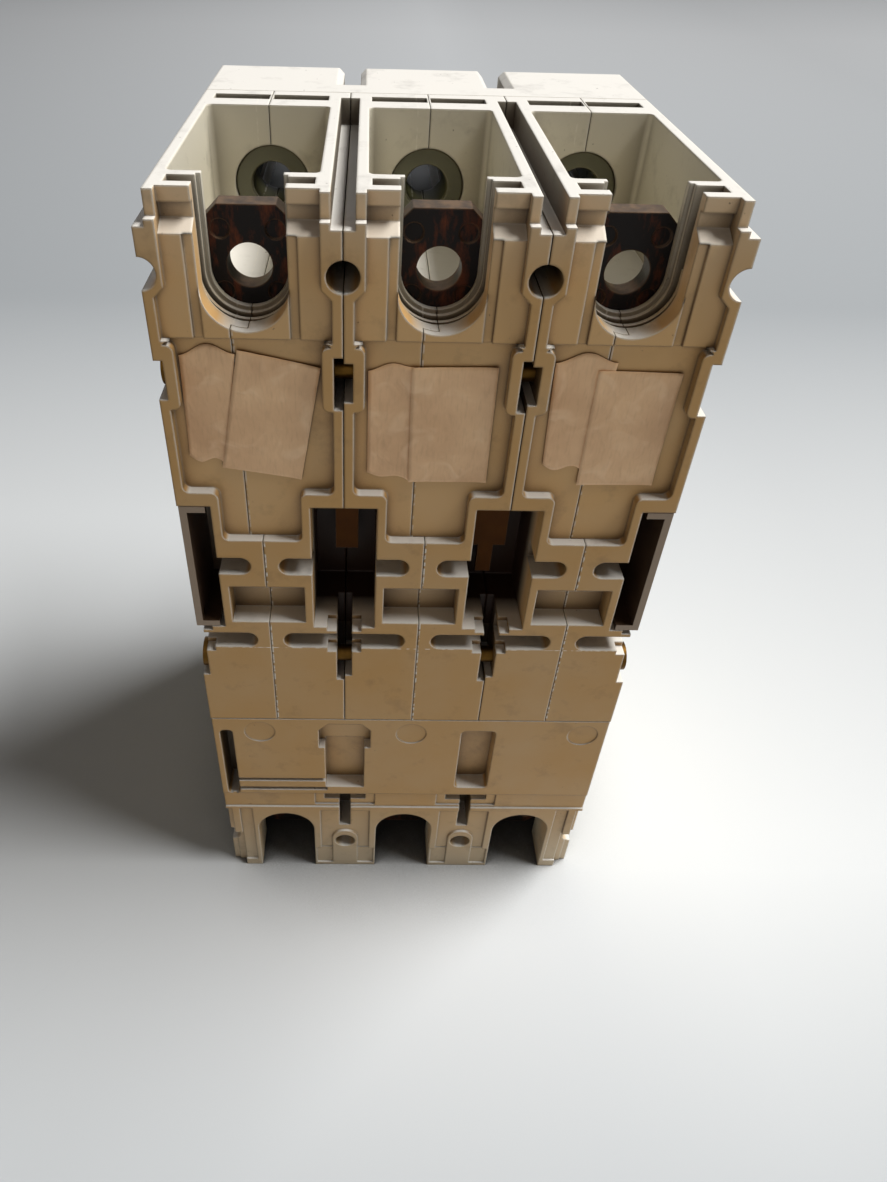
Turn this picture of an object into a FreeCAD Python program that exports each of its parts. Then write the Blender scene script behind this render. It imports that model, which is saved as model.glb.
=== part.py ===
import FreeCAD, Part
import math
import os
from FreeCAD import Vector

# Molded case circuit breaker, three poles, in millimetres.
# X runs across the poles, Y from the rear mounting face to the toggle, Z from the load end to the line end.
# Everything is built with Y = 0 on the rear face and moved to the middle of the depth when it is written.

# Case
POLE_PITCH = 35.0
CASE_HEIGHT = 205.0
CASSETTE_DEPTH = 73.0
COVER_DEPTH = 28.0
TRIP_UNIT_HEIGHT = 71.8
JOINT_GAP = 0.2
SEAM_GAP = 0.15
SEAT_GAP = 0.3
RUN_FIT = 0.05

# Line and load ends
BARRIER_SLOT_WIDTH = 4.2
BARRIER_SLOT_DEPTH = 5.6
BARRIER_SLOT_INSET = 5.2
POCKET_WALL = 2.1
POCKET_DEPTH = 27.0
POCKET_REAR = 12.0
POCKET_FRONT_WALL = 13.4
MOUNT_HOLE_R = 3.0
MOUNT_HOLE_INSET = 13.7
TERMINAL_INSET = 16.6
ACCESS_HOLE_R = 4.7
ACCESS_RING_R = 8.5
ACCESS_RING_DEPTH = 1.5
COVER_SLOT_INSET = 3.6
COVER_SLOT_WIDTH = 4.3
COVER_SLOT_DEPTH = 15.0

# Rear face of a cassette, heights above its lower end or below the line end
RIM_WIDTH = 2.0
LABEL_PANEL_DEPTH = 2.2
POST_PANEL_DEPTH = 1.4
POST_FOOT = 26.2
SEAM_SHIFT = 3.0
SEAM_SHIFT_DEPTH = 3.2
PANEL_FOOT = 60.2
PANEL_STEP = 72.8
PANEL_NECK = 8.5
CAVITY_FOOT = 34.0
CAVITY_TOP = 69.4
CAVITY_DEPTH = 20.0
CAVITY_INNER = 10.4
VENT_SLOT_HEIGHT = 4.8
VENT_SLOT_DEPTH = 8.0
VENT_SLOT_INNER = 3.1
UPPER_VENT = 52.9
LOWER_VENT = 29.5
REAR_POCKET_FOOT = 35.6
REAR_POCKET_HEIGHT = 11.1
REAR_POCKET_DEPTH = 5.5
GAP_WIDTH = 1.8
GAP_DEPTH = 12.0
U_SLOT_HALF = 7.9
SHIELD_INSET = 1.2
SHIELD_WALL = 1.6
BARRIER_DEPTH = 14.2
BARRIER_THICK = 1.5
BARRIER_BRACKET = 4.0
PLAIN_BARRIER_X = (-2.3, 3.0)
PLAIN_BARRIER_LENGTH = 22.6
TEE_HEAD_RIGHT = 3.0
TEE_HEAD_LENGTH = 21.2
TEE_STEM_X = (-3.4, 0.2)
TEE_LENGTH = 29.4

# Tie rods
TIE_ROD_R = 2.0
UPPER_ROD_INSET = 34.7
UPPER_ROD_Y = 7.0
LOWER_ROD_RISE = 20.7
LOWER_ROD_Y = 4.5
NUT_R = 3.6

# Arc chamber, rotor and contacts
CHAMBER_REAR = 24.0
CHAMBER_FRONT_WALL = 5.0
CHAMBER_FLOOR = 9.0
CHAMBER_ROOF = 7.0
CHAMBER_SIDE_WALL = 3.7
DRUM_R = 15.0
DRUM_SIDE_GAP = 1.3
TRUNNION_R = 5.5
TRUNNION_DEPTH = 0.8
CRANK_R = 10.0
ROD_R = 2.0
OPEN_ANGLE = -20.0
CLOSED_ANGLE = 20.0
RESET_ANGLE = -25.0
ARM_SWEEP_GAP = 3.3
ARM_HALF_THICK = 2.5
ARM_HALF_WIDTH = 5.0
ARM_CLOSED_TILT = 10.0
TIP_INSET = 3.0
TIP_HALF = 3.5
MOVING_TIP = 1.5
ARC_PLATE_THICK = 1.2
ARC_PLATE_PITCH = 3.6
ARC_PLATE_START = 6.0
ARC_BOARD_THICK = 0.8
ARC_PLATE_LEGS = 7.0
ARC_LEG_GAP = 2.0
ARC_CROWN_GAP = 1.2

# Conductors
BAR_THICK = 4.5
BAR_WIDTH = 16.6
PAD_TOP_INSET = 5.6
PAD_CLEARANCE = 0.2
LEG_CLEARANCE = 0.5
LOAD_SHELF_DROP = 2.0
CONTACT_THICK = 3.4
PAD_HOLE_R = 4.2
PAD_CHAMFER = 3.0
DIMPLE_R = 1.8
DIMPLE_SPREAD = 5.0
LEG_OFFSET = 11.0

# Mechanism on the middle pole
HANDLE_OFFSET = 9.0
TOGGLE_LENGTH = 24.5
TOGGLE_HALF_WIDTH = 6.5
TOGGLE_HALF_THICK = 4.5
SKIRT_THICK = 2.0
SKIRT_ANGLE = 58.0
SKIRT_HALF_WIDTH = 9.5
YOKE_INNER = 10.5
YOKE_THICK = 2.0
YOKE_DROP = 3.5
PIVOT_R = 3.0
PLATE_INNER = 15.0
PLATE_THICK = 1.5
PLATE_FRONT_GAP = 4.5
PLATE_HALF_HEIGHT = 27.0
PLATE_FLANGE = 7.0
LINK_HALF_WIDTH = 2.5
LINK_EYE_R = 4.0
SPRING_X = 7.7
SPRING_R = 2.3
SPRING_WIRE = 0.8
HOOK_PLAY = 0.3
ANCHOR_OFFSET = 2.5
ANCHOR_R = 1.5
LATCH_OFFSET = 7.0
LATCH_DROP = 25.0
LATCH_PIN_R = 2.0
LATCH_HALF_WIDTH = 2.5

# Trip unit
TU_CHAMBER_DROP = 35.8
TU_CHAMBER_SIDE_WALL = 2.0
TU_CHAMBER_REAR = 16.0
TU_WALL = 3.0
TU_COVER_DROP = 1.8
TU_COVER_HEIGHT = 42.0
TU_COVER_INSET = 3.6
TU_COVER_WALL = 2.0
TU_FRONT_INSET = 12.7
TU_FRONT_DROP = 10.1
TU_FRONT_HEIGHT = 28.7
TU_FRONT_RISE = 0.5
BAR_OFFSET = 11.0
BAR_DROP = 21.8
BAR_R = 2.5
FINGER_HALF_THICK = 1.5
BUTTON_X = 26.0
BUTTON_DROP = 33.8
BUTTON_R = 3.0
BUTTON_PROUD = 1.8
DIAL_X = (-26.0, -8.0)
DIAL_DROP = 25.8
DIAL_R = 5.7
DIAL_SHAFT_R = 2.0
ARMATURE_INSET = 1.5
ARMATURE_DROP = 20.2
ARMATURE_LENGTH = 13.6
ARMATURE_HALF_WIDTH = 11.5
ARMATURE_ARM_RISE = 8.0
ARMATURE_ARM_X = 5.5
ARMATURE_ARM_WIDTH = 3.0
ARMATURE_TIP_GAP = 1.2
ARMATURE_PIN_R = 1.0
YOKE_PLATE = 3.0
JOINT_BOLT_DROP = 8.8
JOINT_BOLT_R = 3.0
JOINT_HEAD_R = 4.6
JOINT_HEAD = 3.0
JOINT_NUT = 4.0
JOINT_OVERLAP = 8.0
RISER_OVERLAP = 5.5
LEG_OVERLAP = 6.0
ARCH_HALF = 8.3
ARCH_TOP = 28.2
LOAD_BAND_TOP = 38.4
LOAD_BAND_HEIGHT = 6.8
EJECTOR_R = 4.0
EJECTOR_DEPTH = 0.25
FOOT_LIP = 1.4

# Covers
COVER_WALL = 3.0
COVER_NOTCH_OFFSET = 8.0
COVER_NOTCH_BLOCK = 2.0
COVER_NOTCH_LIP = 1.4
COVER_SIDE_GAP = 0.1
COVER_REAR_GAP = 0.15
COVER_END_WALL = 2.0
MOUNT_HEAD_R = 5.2
MOUNT_SEAT_OFFSET = 7.0
TUBE_WALL = 1.4
ACC_PLATE_THICK = 3.0
ACC_PLATE_INSET = 5.4
ACC_PLATE_GAP = 9.5
ACC_PLATE_ABOVE = 25.0
ACC_RIM = 9.0
HANDLE_FRAME_HALF = 15.0
HANDLE_FRAME_RISE = 3.0
SCREW_R = 1.6
SCREW_HEAD_R = 3.2
SCREW_BOSS_R = 3.5
SCREW_SINK = 2.6
SCREW_BITE = 3.0
COVER_SCREW_SIDE = 9.0
COVER_SCREW_RISE = 4.0
COVER_SCREW_TOP = 34.0
END_SCREW_INSET = 6.0

# Places that follow from the sizes above
HALF_PITCH = POLE_PITCH / 2
POLE_X = (-POLE_PITCH, 0.0, POLE_PITCH)
JOINT_X = (-HALF_PITCH, HALF_PITCH)
HALF_WIDTH = HALF_PITCH - JOINT_GAP / 2
CASE_HALF = POLE_PITCH + HALF_WIDTH
TOP = CASE_HEIGHT
FOOT = TRIP_UNIT_HEIGHT + JOINT_GAP
WALL_X = HALF_PITCH - BARRIER_SLOT_WIDTH / 2
POCKET_HALF = WALL_X - POCKET_WALL
SLOT_FLOOR = TOP - BARRIER_SLOT_DEPTH
POCKET_FLOOR = TOP - POCKET_DEPTH
POCKET_FRONT = CASSETTE_DEPTH - POCKET_FRONT_WALL
BARRIER_SLOT_STOP = CASSETTE_DEPTH - BARRIER_SLOT_INSET
COVER_SLOT_FRONT = CASSETTE_DEPTH - COVER_SLOT_INSET
COVER_SLOT_REAR = COVER_SLOT_FRONT - COVER_SLOT_WIDTH
HOLE_Z = (MOUNT_HOLE_INSET, TOP - MOUNT_HOLE_INSET)
ACCESS_Z = (TERMINAL_INSET, TOP - TERMINAL_INSET)
COVER_FRONT = CASSETTE_DEPTH + COVER_DEPTH
COVER_REAR = CASSETTE_DEPTH + COVER_REAR_GAP
COVER_INNER = COVER_FRONT - COVER_WALL
COVER_HALF = CASE_HALF - COVER_SIDE_GAP
OUTER_JOINT = POLE_PITCH + HALF_PITCH
OUTER_SLOT = OUTER_JOINT - BARRIER_SLOT_WIDTH / 2
CHAMBER_FRONT = CASSETTE_DEPTH - CHAMBER_FRONT_WALL
CHAMBER_FOOT = FOOT + CHAMBER_FLOOR
CHAMBER_TOP = POCKET_FLOOR - CHAMBER_ROOF
CHAMBER_HALF_WIDTH = HALF_PITCH - CHAMBER_SIDE_WALL
ROTOR_Y = (CHAMBER_REAR + CHAMBER_FRONT) / 2
ROTOR_Z = (CHAMBER_FOOT + CHAMBER_TOP) / 2
DRUM_HALF_WIDTH = CHAMBER_HALF_WIDTH - DRUM_SIDE_GAP
WIDEST_TILT = math.radians(CLOSED_ANGLE - RESET_ANGLE - ARM_CLOSED_TILT)
ARM_REACH = (CHAMBER_FRONT - CHAMBER_REAR) / 2 - ARM_SWEEP_GAP
ARM_LENGTH = (ARM_REACH - ARM_HALF_THICK * math.cos(WIDEST_TILT)) / math.sin(WIDEST_TILT)
TIP_RADIUS = ARM_LENGTH - TIP_INSET
LINE_LEG_FRONT = ROTOR_Y - LEG_OFFSET
LEG_BACK = LINE_LEG_FRONT - BAR_THICK
LOAD_LEG_BACK = ROTOR_Y + LEG_OFFSET
LOAD_LEG_FRONT = LOAD_LEG_BACK + BAR_THICK
RISER_FRONT = LOAD_LEG_FRONT + BAR_THICK
PAD_BACK = POCKET_REAR + PAD_CLEARANCE
PAD_FRONT = PAD_BACK + BAR_THICK
BAR_HALF = BAR_WIDTH / 2
CHANNEL_HALF = BAR_HALF + SEAT_GAP
LEG_SHELF = (CHAMBER_TOP + LEG_CLEARANCE, CHAMBER_TOP + LEG_CLEARANCE + BAR_THICK)
HANDLE_Y = CASSETTE_DEPTH + HANDLE_OFFSET
SKIRT_R = COVER_FRONT + ACC_PLATE_THICK / 2 - HANDLE_Y
HANDLE_R = SKIRT_R + TOGGLE_LENGTH
YOKE_R = SKIRT_R - YOKE_DROP
PLATE_FRONT = COVER_FRONT - PLATE_FRONT_GAP
ANCHOR_Y = CASSETTE_DEPTH + ANCHOR_OFFSET
LATCH_Y = CASSETTE_DEPTH + LATCH_OFFSET
LATCH_Z = ROTOR_Z - LATCH_DROP
TU_CHAMBER_FLOOR = TRIP_UNIT_HEIGHT - TU_CHAMBER_DROP
TU_CHAMBER_HALF = HALF_PITCH - TU_CHAMBER_SIDE_WALL
TU_COVER_TOP = TRIP_UNIT_HEIGHT - TU_COVER_DROP
TU_COVER_FOOT = TU_COVER_TOP - TU_COVER_HEIGHT
TU_COVER_HALF = CASE_HALF - TU_COVER_INSET
END_COVER_HEIGHT = TU_COVER_FOOT - SEAT_GAP - COVER_END_WALL - JOINT_GAP
TU_FRONT_HALF = CASE_HALF - TU_FRONT_INSET
TU_FRONT_TOP = TRIP_UNIT_HEIGHT - TU_FRONT_DROP
TU_FRONT_FOOT = TU_FRONT_TOP - TU_FRONT_HEIGHT
BAR_Y = CASSETTE_DEPTH + BAR_OFFSET
BAR_Z = TRIP_UNIT_HEIGHT - BAR_DROP
BUTTON_Z = TRIP_UNIT_HEIGHT - BUTTON_DROP
DIAL_Z = TRIP_UNIT_HEIGHT - DIAL_DROP
ARMATURE_Y = CASSETTE_DEPTH - ARMATURE_INSET
ARMATURE_Z = TRIP_UNIT_HEIGHT - ARMATURE_DROP
JOINT_BOLT_Z = TRIP_UNIT_HEIGHT - JOINT_BOLT_DROP
LOAD_SHELF = TU_CHAMBER_FLOOR - LOAD_SHELF_DROP
ACC_PLATE_HALF = CASE_HALF - ACC_PLATE_INSET
ACC_PLATE_FOOT = TRIP_UNIT_HEIGHT + ACC_PLATE_GAP
ACC_PLATE_TOP = ROTOR_Z + ACC_PLATE_ABOVE
REACH = 400.0


# Shapes from corner values and profiles

def box(x, y, z):
    return Part.makeBox(x[1] - x[0], y[1] - y[0], z[1] - z[0], Vector(x[0], y[0], z[0]))


def rod_x(y, z, r, x):
    return Part.makeCylinder(r, x[1] - x[0], Vector(x[0], y, z), Vector(1, 0, 0))


def rod_y(x, z, r, y):
    return Part.makeCylinder(r, y[1] - y[0], Vector(x, y[0], z), Vector(0, 1, 0))


def plate_x(points, x):
    wire = Part.makePolygon([Vector(x[0], y, z) for y, z in points + points[:1]])
    return Part.Face(wire).extrude(Vector(x[1] - x[0], 0, 0))


def plate_y(points, y):
    wire = Part.makePolygon([Vector(px, y[0], z) for px, z in points + points[:1]])
    return Part.Face(wire).extrude(Vector(0, y[1] - y[0], 0))


def fuse(shapes):
    return shapes[0].multiFuse(shapes[1:]).removeSplitter()


def mirrored(shape):
    return shape.mirror(Vector(0, 0, 0), Vector(1, 0, 0))


def both_sides(shape):
    return [shape, mirrored(shape)]


def moved(shape, x=0.0, y=0.0, z=0.0):
    copy = shape.copy()
    copy.translate(Vector(x, y, z))
    return copy


def turned(shape, y, z, angle):
    copy = shape.copy()
    copy.rotate(Vector(0, y, z), Vector(1, 0, 0), angle)
    return copy


def half_turned(shape):
    return turned(shape, ROTOR_Y, ROTOR_Z, 180)


def rounded(shape, radius, direction):
    edges = [e for e in shape.Edges if abs(e.tangentAt(e.FirstParameter).dot(direction)) > 0.99]
    return shape.makeFillet(radius, edges)


def rounded_box(x, y, z, radius):
    return rounded(box(x, y, z), radius, Vector(0, 1, 0))


def obround(x, z, half, y):
    body = box((x[0] + half, x[1] - half), y, (z - half, z + half))
    return fuse([body, rod_y(x[0] + half, z, half, y), rod_y(x[1] - half, z, half, y)])


def u_cut(half, bottom, y):
    centre = bottom + half
    return fuse([box((-half, half), y, (centre, TOP + 1)), rod_y(0, centre, half, y)])


def arc_point(y, z, radius, angle):
    return (y + radius * math.cos(math.radians(angle)), z + radius * math.sin(math.radians(angle)))


def sector_x(y, z, inner, outer, angles, x):
    tube = rod_x(y, z, outer, x).cut(rod_x(y, z, inner, x))
    far = 2 * outer
    points = [(y, z)]
    steps = 6
    for i in range(steps + 1):
        angle = angles[0] + (angles[1] - angles[0]) * i / steps
        points.append(arc_point(y, z, far, angle))
    return tube.common(plate_x(points, x))


# Cassette halves, moulded thermoset, split down the middle of each pole

def rear_recesses():
    step = FOOT + PANEL_STEP
    post = TOP - POST_FOOT
    shoulder = HOLE_Z[1] - 2.4
    wide_strip = 3.9
    wide = HALF_PITCH - wide_strip
    rim = HALF_PITCH - RIM_WIDTH
    taper = rim - wide
    outline = [(-PANEL_NECK, FOOT + PANEL_FOOT), (PANEL_NECK, FOOT + PANEL_FOOT), (PANEL_NECK, step),
               (rim, step), (rim, post), (-rim, post), (-rim, step), (-PANEL_NECK, step)]
    panel = rounded(plate_y(outline, (-1, LABEL_PANEL_DEPTH)), 1.5, Vector(0, 1, 0))
    tab = rounded_box((rim - RIM_WIDTH, rim + 2), (-2, LABEL_PANEL_DEPTH + 1), (post - 14.3, post - 0.8), 1.4)
    panel = panel.cut(both_sides(tab))
    post_lines = [(-rim, post), (rim, post), (rim, shoulder - taper), (wide, shoulder), (wide, TOP - 7.2),
                  (-wide, TOP - 7.2), (-wide, shoulder), (-rim, shoulder - taper)]
    posts = plate_y(post_lines, (-1, POST_PANEL_DEPTH))
    ridge = box((U_SLOT_HALF, U_SLOT_HALF + 1.8), (0, POST_PANEL_DEPTH + 0.6), (post, TOP - 7.2))
    block = 3.6
    groove = 4.8
    profile = [(-1, TOP - 7.2), (POST_PANEL_DEPTH, TOP - 7.2), (groove, TOP - 5.5), (groove, TOP - 2.7),
               (block, TOP - 2.7), (block, TOP + 1), (-1, TOP + 1)]
    clip = plate_x(profile, (-wide, wide))
    wall_end = box((-HALF_PITCH, HALF_PITCH), (-1, 1.8), (SLOT_FLOOR + 1.2, TOP + 1))
    return [panel, posts, clip, wall_end] + both_sides(ridge)


def line_pocket():
    pocket = box((-POCKET_HALF, POCKET_HALF), (POCKET_REAR, POCKET_FRONT), (POCKET_FLOOR, TOP + 1))
    pocket = rounded(pocket, 1.2, Vector(0, 0, 1))
    post = TOP - POST_FOOT + 1.4
    seal_groove = u_cut(POCKET_HALF - 0.6, post - 4.0, (6.0, 9.6))
    seal_rib = u_cut(POCKET_HALF, post - 5.0, (7.2, 8.2))
    seal_rib = seal_rib.cut(u_cut(U_SLOT_HALF + 0.6, post - 0.2, (7.0, 8.4)))
    seal_rib = seal_rib.common(box((-HALF_PITCH, HALF_PITCH), (7, 9), (FOOT, HOLE_Z[1] - 0.5)))
    return [pocket, u_cut(U_SLOT_HALF, post, (-1, 10.6)), u_cut(U_SLOT_HALF - 0.8, post + 0.8, (10, 12.5)),
            seal_groove.cut(seal_rib)]


def line_end_cuts():
    beside = box((WALL_X, HALF_PITCH), (-1, BARRIER_SLOT_STOP), (SLOT_FLOOR, TOP + 1))
    ring = rod_y(0, ACCESS_Z[1], ACCESS_RING_R, (POCKET_FRONT - 1, POCKET_FRONT + ACCESS_RING_DEPTH))
    bore = rod_y(0, ACCESS_Z[1], ACCESS_HOLE_R, (POCKET_FRONT, CASSETTE_DEPTH + 1))
    hole = rod_y(HALF_PITCH, HOLE_Z[1], MOUNT_HOLE_R, (-1, CASSETTE_DEPTH + 1))
    slot = box((0.4, POCKET_HALF - 0.6), (COVER_SLOT_REAR, COVER_SLOT_FRONT),
               (TOP - COVER_SLOT_DEPTH, TOP + 1))
    return [ring, bore] + both_sides(beside) + both_sides(hole) + both_sides(slot)


def rear_vents():
    half = VENT_SLOT_HEIGHT / 2
    cavity = box((CAVITY_INNER, HALF_PITCH), (-1, CAVITY_DEPTH), (FOOT + CAVITY_FOOT, FOOT + CAVITY_TOP))
    upper = obround((VENT_SLOT_INNER, HALF_PITCH + 3), FOOT + UPPER_VENT, half, (-1, VENT_SLOT_DEPTH))
    lower_end = HALF_PITCH - GAP_WIDTH
    lower = obround((VENT_SLOT_INNER, lower_end + half), FOOT + LOWER_VENT, half, (-1, VENT_SLOT_DEPTH))
    lower = lower.common(box((0, lower_end), (-1, VENT_SLOT_DEPTH), (FOOT, TOP)))
    step = box((lower_end - 2.2, lower_end), (-1, 3), (FOOT + LOWER_VENT - 3.8, FOOT + LOWER_VENT))
    floor_notch = box((HALF_PITCH - 4, HALF_PITCH), (-1, 4.2), (FOOT + CAVITY_FOOT - 1.2, FOOT + CAVITY_FOOT))
    foot = FOOT + REAR_POCKET_FOOT
    top = foot + REAR_POCKET_HEIGHT
    pocket = box((-PANEL_NECK, PANEL_NECK), (-1, REAR_POCKET_DEPTH), (foot, top))
    ledge = box((-PANEL_NECK + 0.8, PANEL_NECK - 0.8), (0, REAR_POCKET_DEPTH + 1.5), (foot + 6, top))
    return [pocket, ledge] + both_sides(fuse([cavity, upper, lower, step, floor_notch]))


def rod_gaps():
    right = (HALF_PITCH - GAP_WIDTH, HALF_PITCH)
    left = (-HALF_PITCH, GAP_WIDTH - HALF_PITCH)
    rod_z = TOP - UPPER_ROD_INSET
    low_z = FOOT + LOWER_ROD_RISE
    cavity = FOOT + CAVITY_FOOT
    depth = (-1, GAP_DEPTH)
    gaps = [box(right, depth, (rod_z - 5.3, rod_z + 5.7)), box(left, depth, (rod_z - 3.6, rod_z + 4.6)),
            box(right, depth, (low_z - 5.1, cavity)), box(left, depth, (low_z - 3.6, cavity))]
    bore = TIE_ROD_R + 0.1
    bores = [rod_x(UPPER_ROD_Y, rod_z, bore, (-HALF_PITCH, HALF_PITCH)),
             rod_x(LOWER_ROD_Y, low_z, bore, (-HALF_PITCH, HALF_PITCH))]
    return gaps + bores


def line_channel():
    x = (-CHANNEL_HALF, CHANNEL_HALF)
    gap = SEAT_GAP
    down = box(x, (PAD_BACK - gap, PAD_FRONT + gap), (LEG_SHELF[0] - gap, POCKET_FLOOR + 1))
    across = box(x, (PAD_BACK - gap, LINE_LEG_FRONT + gap), (LEG_SHELF[0] - gap, LEG_SHELF[1] + gap))
    drop = box(x, (LEG_BACK - gap, LINE_LEG_FRONT + gap), (CHAMBER_TOP - 1, LEG_SHELF[1] + gap))
    return fuse([down, across, drop])


def arc_chamber():
    half = CHAMBER_HALF_WIDTH
    room = box((-half, half), (CHAMBER_REAR, CHAMBER_FRONT), (CHAMBER_FOOT, CHAMBER_TOP))
    recess = half + TRUNNION_DEPTH
    bearing = rod_x(ROTOR_Y, ROTOR_Z, TRUNNION_R + RUN_FIT, (-recess, recess))
    load_way = box((-CHANNEL_HALF, CHANNEL_HALF), (LOAD_LEG_BACK - SEAT_GAP, LOAD_LEG_FRONT + SEAT_GAP),
                   (FOOT - 1, CHAMBER_FOOT + 1))
    return [room, bearing, line_channel(), load_way]


def drive_rod_slots(x):
    cuts = []
    clear = ROD_R + 0.5
    for start in (0, 180):
        angles = (start + RESET_ANGLE, start + CLOSED_ANGLE)
        cuts.append(sector_x(ROTOR_Y, ROTOR_Z, CRANK_R - clear, CRANK_R + clear, angles, x))
        for angle in angles:
            y, z = arc_point(ROTOR_Y, ROTOR_Z, CRANK_R, angle)
            cuts.append(rod_x(y, z, clear, x))
    return cuts


def cassette():
    body = box((-HALF_WIDTH, HALF_WIDTH), (0, CASSETTE_DEPTH), (FOOT, TOP))
    cuts = rear_recesses() + line_pocket() + line_end_cuts() + rear_vents() + rod_gaps() + arc_chamber()
    for tool in cuts:
        body = body.cut(tool)
    return body


def seam_regions():
    gap = SEAM_GAP / 2
    skin = (-1, SEAM_SHIFT_DEPTH)
    above = (FOOT + PANEL_FOOT, TOP + 1)
    left = box((-POLE_PITCH, -gap), (-1, REACH), (0, TOP + 1))
    left = left.cut(box((-SEAM_SHIFT - gap, 0), skin, above))
    right = box((gap, POLE_PITCH), (-1, REACH), (0, TOP + 1))
    right = fuse([right, box((-SEAM_SHIFT + gap, 1), (-1, SEAM_SHIFT_DEPTH - SEAM_GAP), above)])
    return {"left": left, "right": right}


def cover_screw_places():
    wide = POLE_PITCH + COVER_SCREW_SIDE
    heights = (FOOT + COVER_SCREW_RISE, ROTOR_Z + COVER_SCREW_TOP)
    return [(x, z) for x in (-wide, wide) for z in heights] + end_screw_places(0) + end_screw_places(1)


def end_screw_places(end):
    narrow = POLE_PITCH - COVER_SCREW_SIDE
    z = (END_SCREW_INSET, TOP - END_SCREW_INSET)[end]
    return [(-narrow, z), (narrow, z)]


def cassette_nodes():
    body = cassette()
    regions = seam_regions()
    nodes = {}
    for pole, pole_x in enumerate(POLE_X, 1):
        shape = body
        if pole == 2:
            window = LINK_HALF_WIDTH + 1.0
            travel = CRANK_R * math.sin(math.radians(-RESET_ANGLE)) + LINK_EYE_R + 0.6
            opening = (ROTOR_Z - travel, ROTOR_Z + travel)
            shape = shape.cut(box((-window, window), (ROTOR_Y, CASSETTE_DEPTH + 1), opening))
        for side, sign in (("left", -1), ("right", 1)):
            half = shape.common(regions[side])
            inner_wall = pole == 2 or (pole - 2) * sign < 0
            if not inner_wall:
                x = sorted((sign * WALL_X, sign * HALF_PITCH))
                half = half.cut(box(x, (BARRIER_SLOT_STOP - 1, CASSETTE_DEPTH + 1), (SLOT_FLOOR, TOP + 1)))
            if inner_wall:
                x = sorted((sign * (CHAMBER_HALF_WIDTH - 1), sign * HALF_PITCH))
                for tool in drive_rod_slots(x):
                    half = half.cut(tool)
            half = moved(half, pole_x)
            places = [(x, z) for x, z in cover_screw_places() if abs(x - pole_x) < HALF_PITCH and z > FOOT]
            if pole != 2:
                places += [(x * -sign, z) for x, z in mechanism_screw_places()]
            for x, z in places:
                half = half.cut(rod_y(x, z, SCREW_R + RUN_FIT, (CASSETTE_DEPTH - SCREW_BITE - 0.2, REACH)))
            nodes["cassette_%d_%s" % (pole, side)] = half
    return nodes


# Tie rods and their nuts, brass plated steel, that clamp the three cassettes together

def tie_rod_places():
    return [(UPPER_ROD_Y, TOP - UPPER_ROD_INSET), (LOWER_ROD_Y, FOOT + LOWER_ROD_RISE)]


def tie_rod_nodes():
    reach = CASE_HALF - 0.2
    seat = POLE_PITCH + HALF_PITCH - GAP_WIDTH
    rods = [rod_x(y, z, TIE_ROD_R, (-reach, reach)) for y, z in tie_rod_places()]
    nuts = []
    for y, z in tie_rod_places():
        for x in ((seat, reach), (-reach, -seat)):
            nut = Part.makeCylinder(min(NUT_R, y - 0.3), reach - seat, Vector(x[0], y, z), Vector(1, 0, 0))
            nuts.append(nut.cut(rod_x(y, z, TIE_ROD_R, x)))
    return {"tie_rods": Part.makeCompound(rods), "tie_rod_nuts": Part.makeCompound(nuts)}


# Dark side shields over the outer rear cavities, moulded phenolic

def side_shield():
    x = (CAVITY_INNER + SHIELD_INSET, HALF_WIDTH - SEAT_GAP)
    y = (RUN_FIT, CAVITY_DEPTH - RUN_FIT)
    z = (FOOT + CAVITY_FOOT + SEAT_GAP / 2, FOOT + CAVITY_TOP - SEAT_GAP / 2)
    wall = SHIELD_WALL
    shell = box(x, y, z)
    hollow = box((x[0] - 1, x[1] - wall), (y[0] - 1, y[1] - wall), (z[0] + wall, z[1] - wall))
    behind = box((x[0] - 1, x[0] + wall), (y[1] - wall - 1, y[1] + 1), z)
    return shell.cut(hollow).cut(behind)


def side_shield_nodes():
    right = moved(side_shield(), POLE_PITCH)
    return {"side_shield_right": right, "side_shield_left": mirrored(right)}


# Brown phenolic barriers that hang in the rear cavities between the poles

def barrier_strip(x, length):
    top = FOOT + CAVITY_TOP - RUN_FIT
    return box(x, (BARRIER_DEPTH, BARRIER_DEPTH + BARRIER_THICK), (top - length, top))


def barrier_bracket(x):
    top = FOOT + CAVITY_TOP - RUN_FIT
    return box(x, (BARRIER_DEPTH, CAVITY_DEPTH - RUN_FIT), (top - BARRIER_BRACKET, top))


def rear_barrier_nodes():
    left = SEAT_GAP / 2 - (HALF_PITCH - CAVITY_INNER)
    plain = fuse([barrier_strip(PLAIN_BARRIER_X, PLAIN_BARRIER_LENGTH), barrier_bracket(PLAIN_BARRIER_X)])
    tee = fuse([barrier_strip((left, TEE_HEAD_RIGHT), TEE_HEAD_LENGTH), barrier_strip(TEE_STEM_X, TEE_LENGTH),
                barrier_bracket(TEE_STEM_X)])
    return {"rear_barrier_1": moved(plain, JOINT_X[0]), "rear_barrier_2": moved(tee, JOINT_X[1])}


# Line terminals, one bent copper bar each, with the fixed contact at the inner end

def closed_tip(radius, across, half_width):
    block = box((-half_width, half_width), (ROTOR_Y - across[1], ROTOR_Y - across[0]),
                (ROTOR_Z + radius - TIP_HALF, ROTOR_Z + radius + TIP_HALF))
    return turned(block, ROTOR_Y, ROTOR_Z, ARM_CLOSED_TILT)


def fixed_contact():
    start = ARM_HALF_THICK + MOVING_TIP + SEAT_GAP
    return closed_tip(TIP_RADIUS, (start, start + CONTACT_THICK), ARM_HALF_WIDTH)


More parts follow.
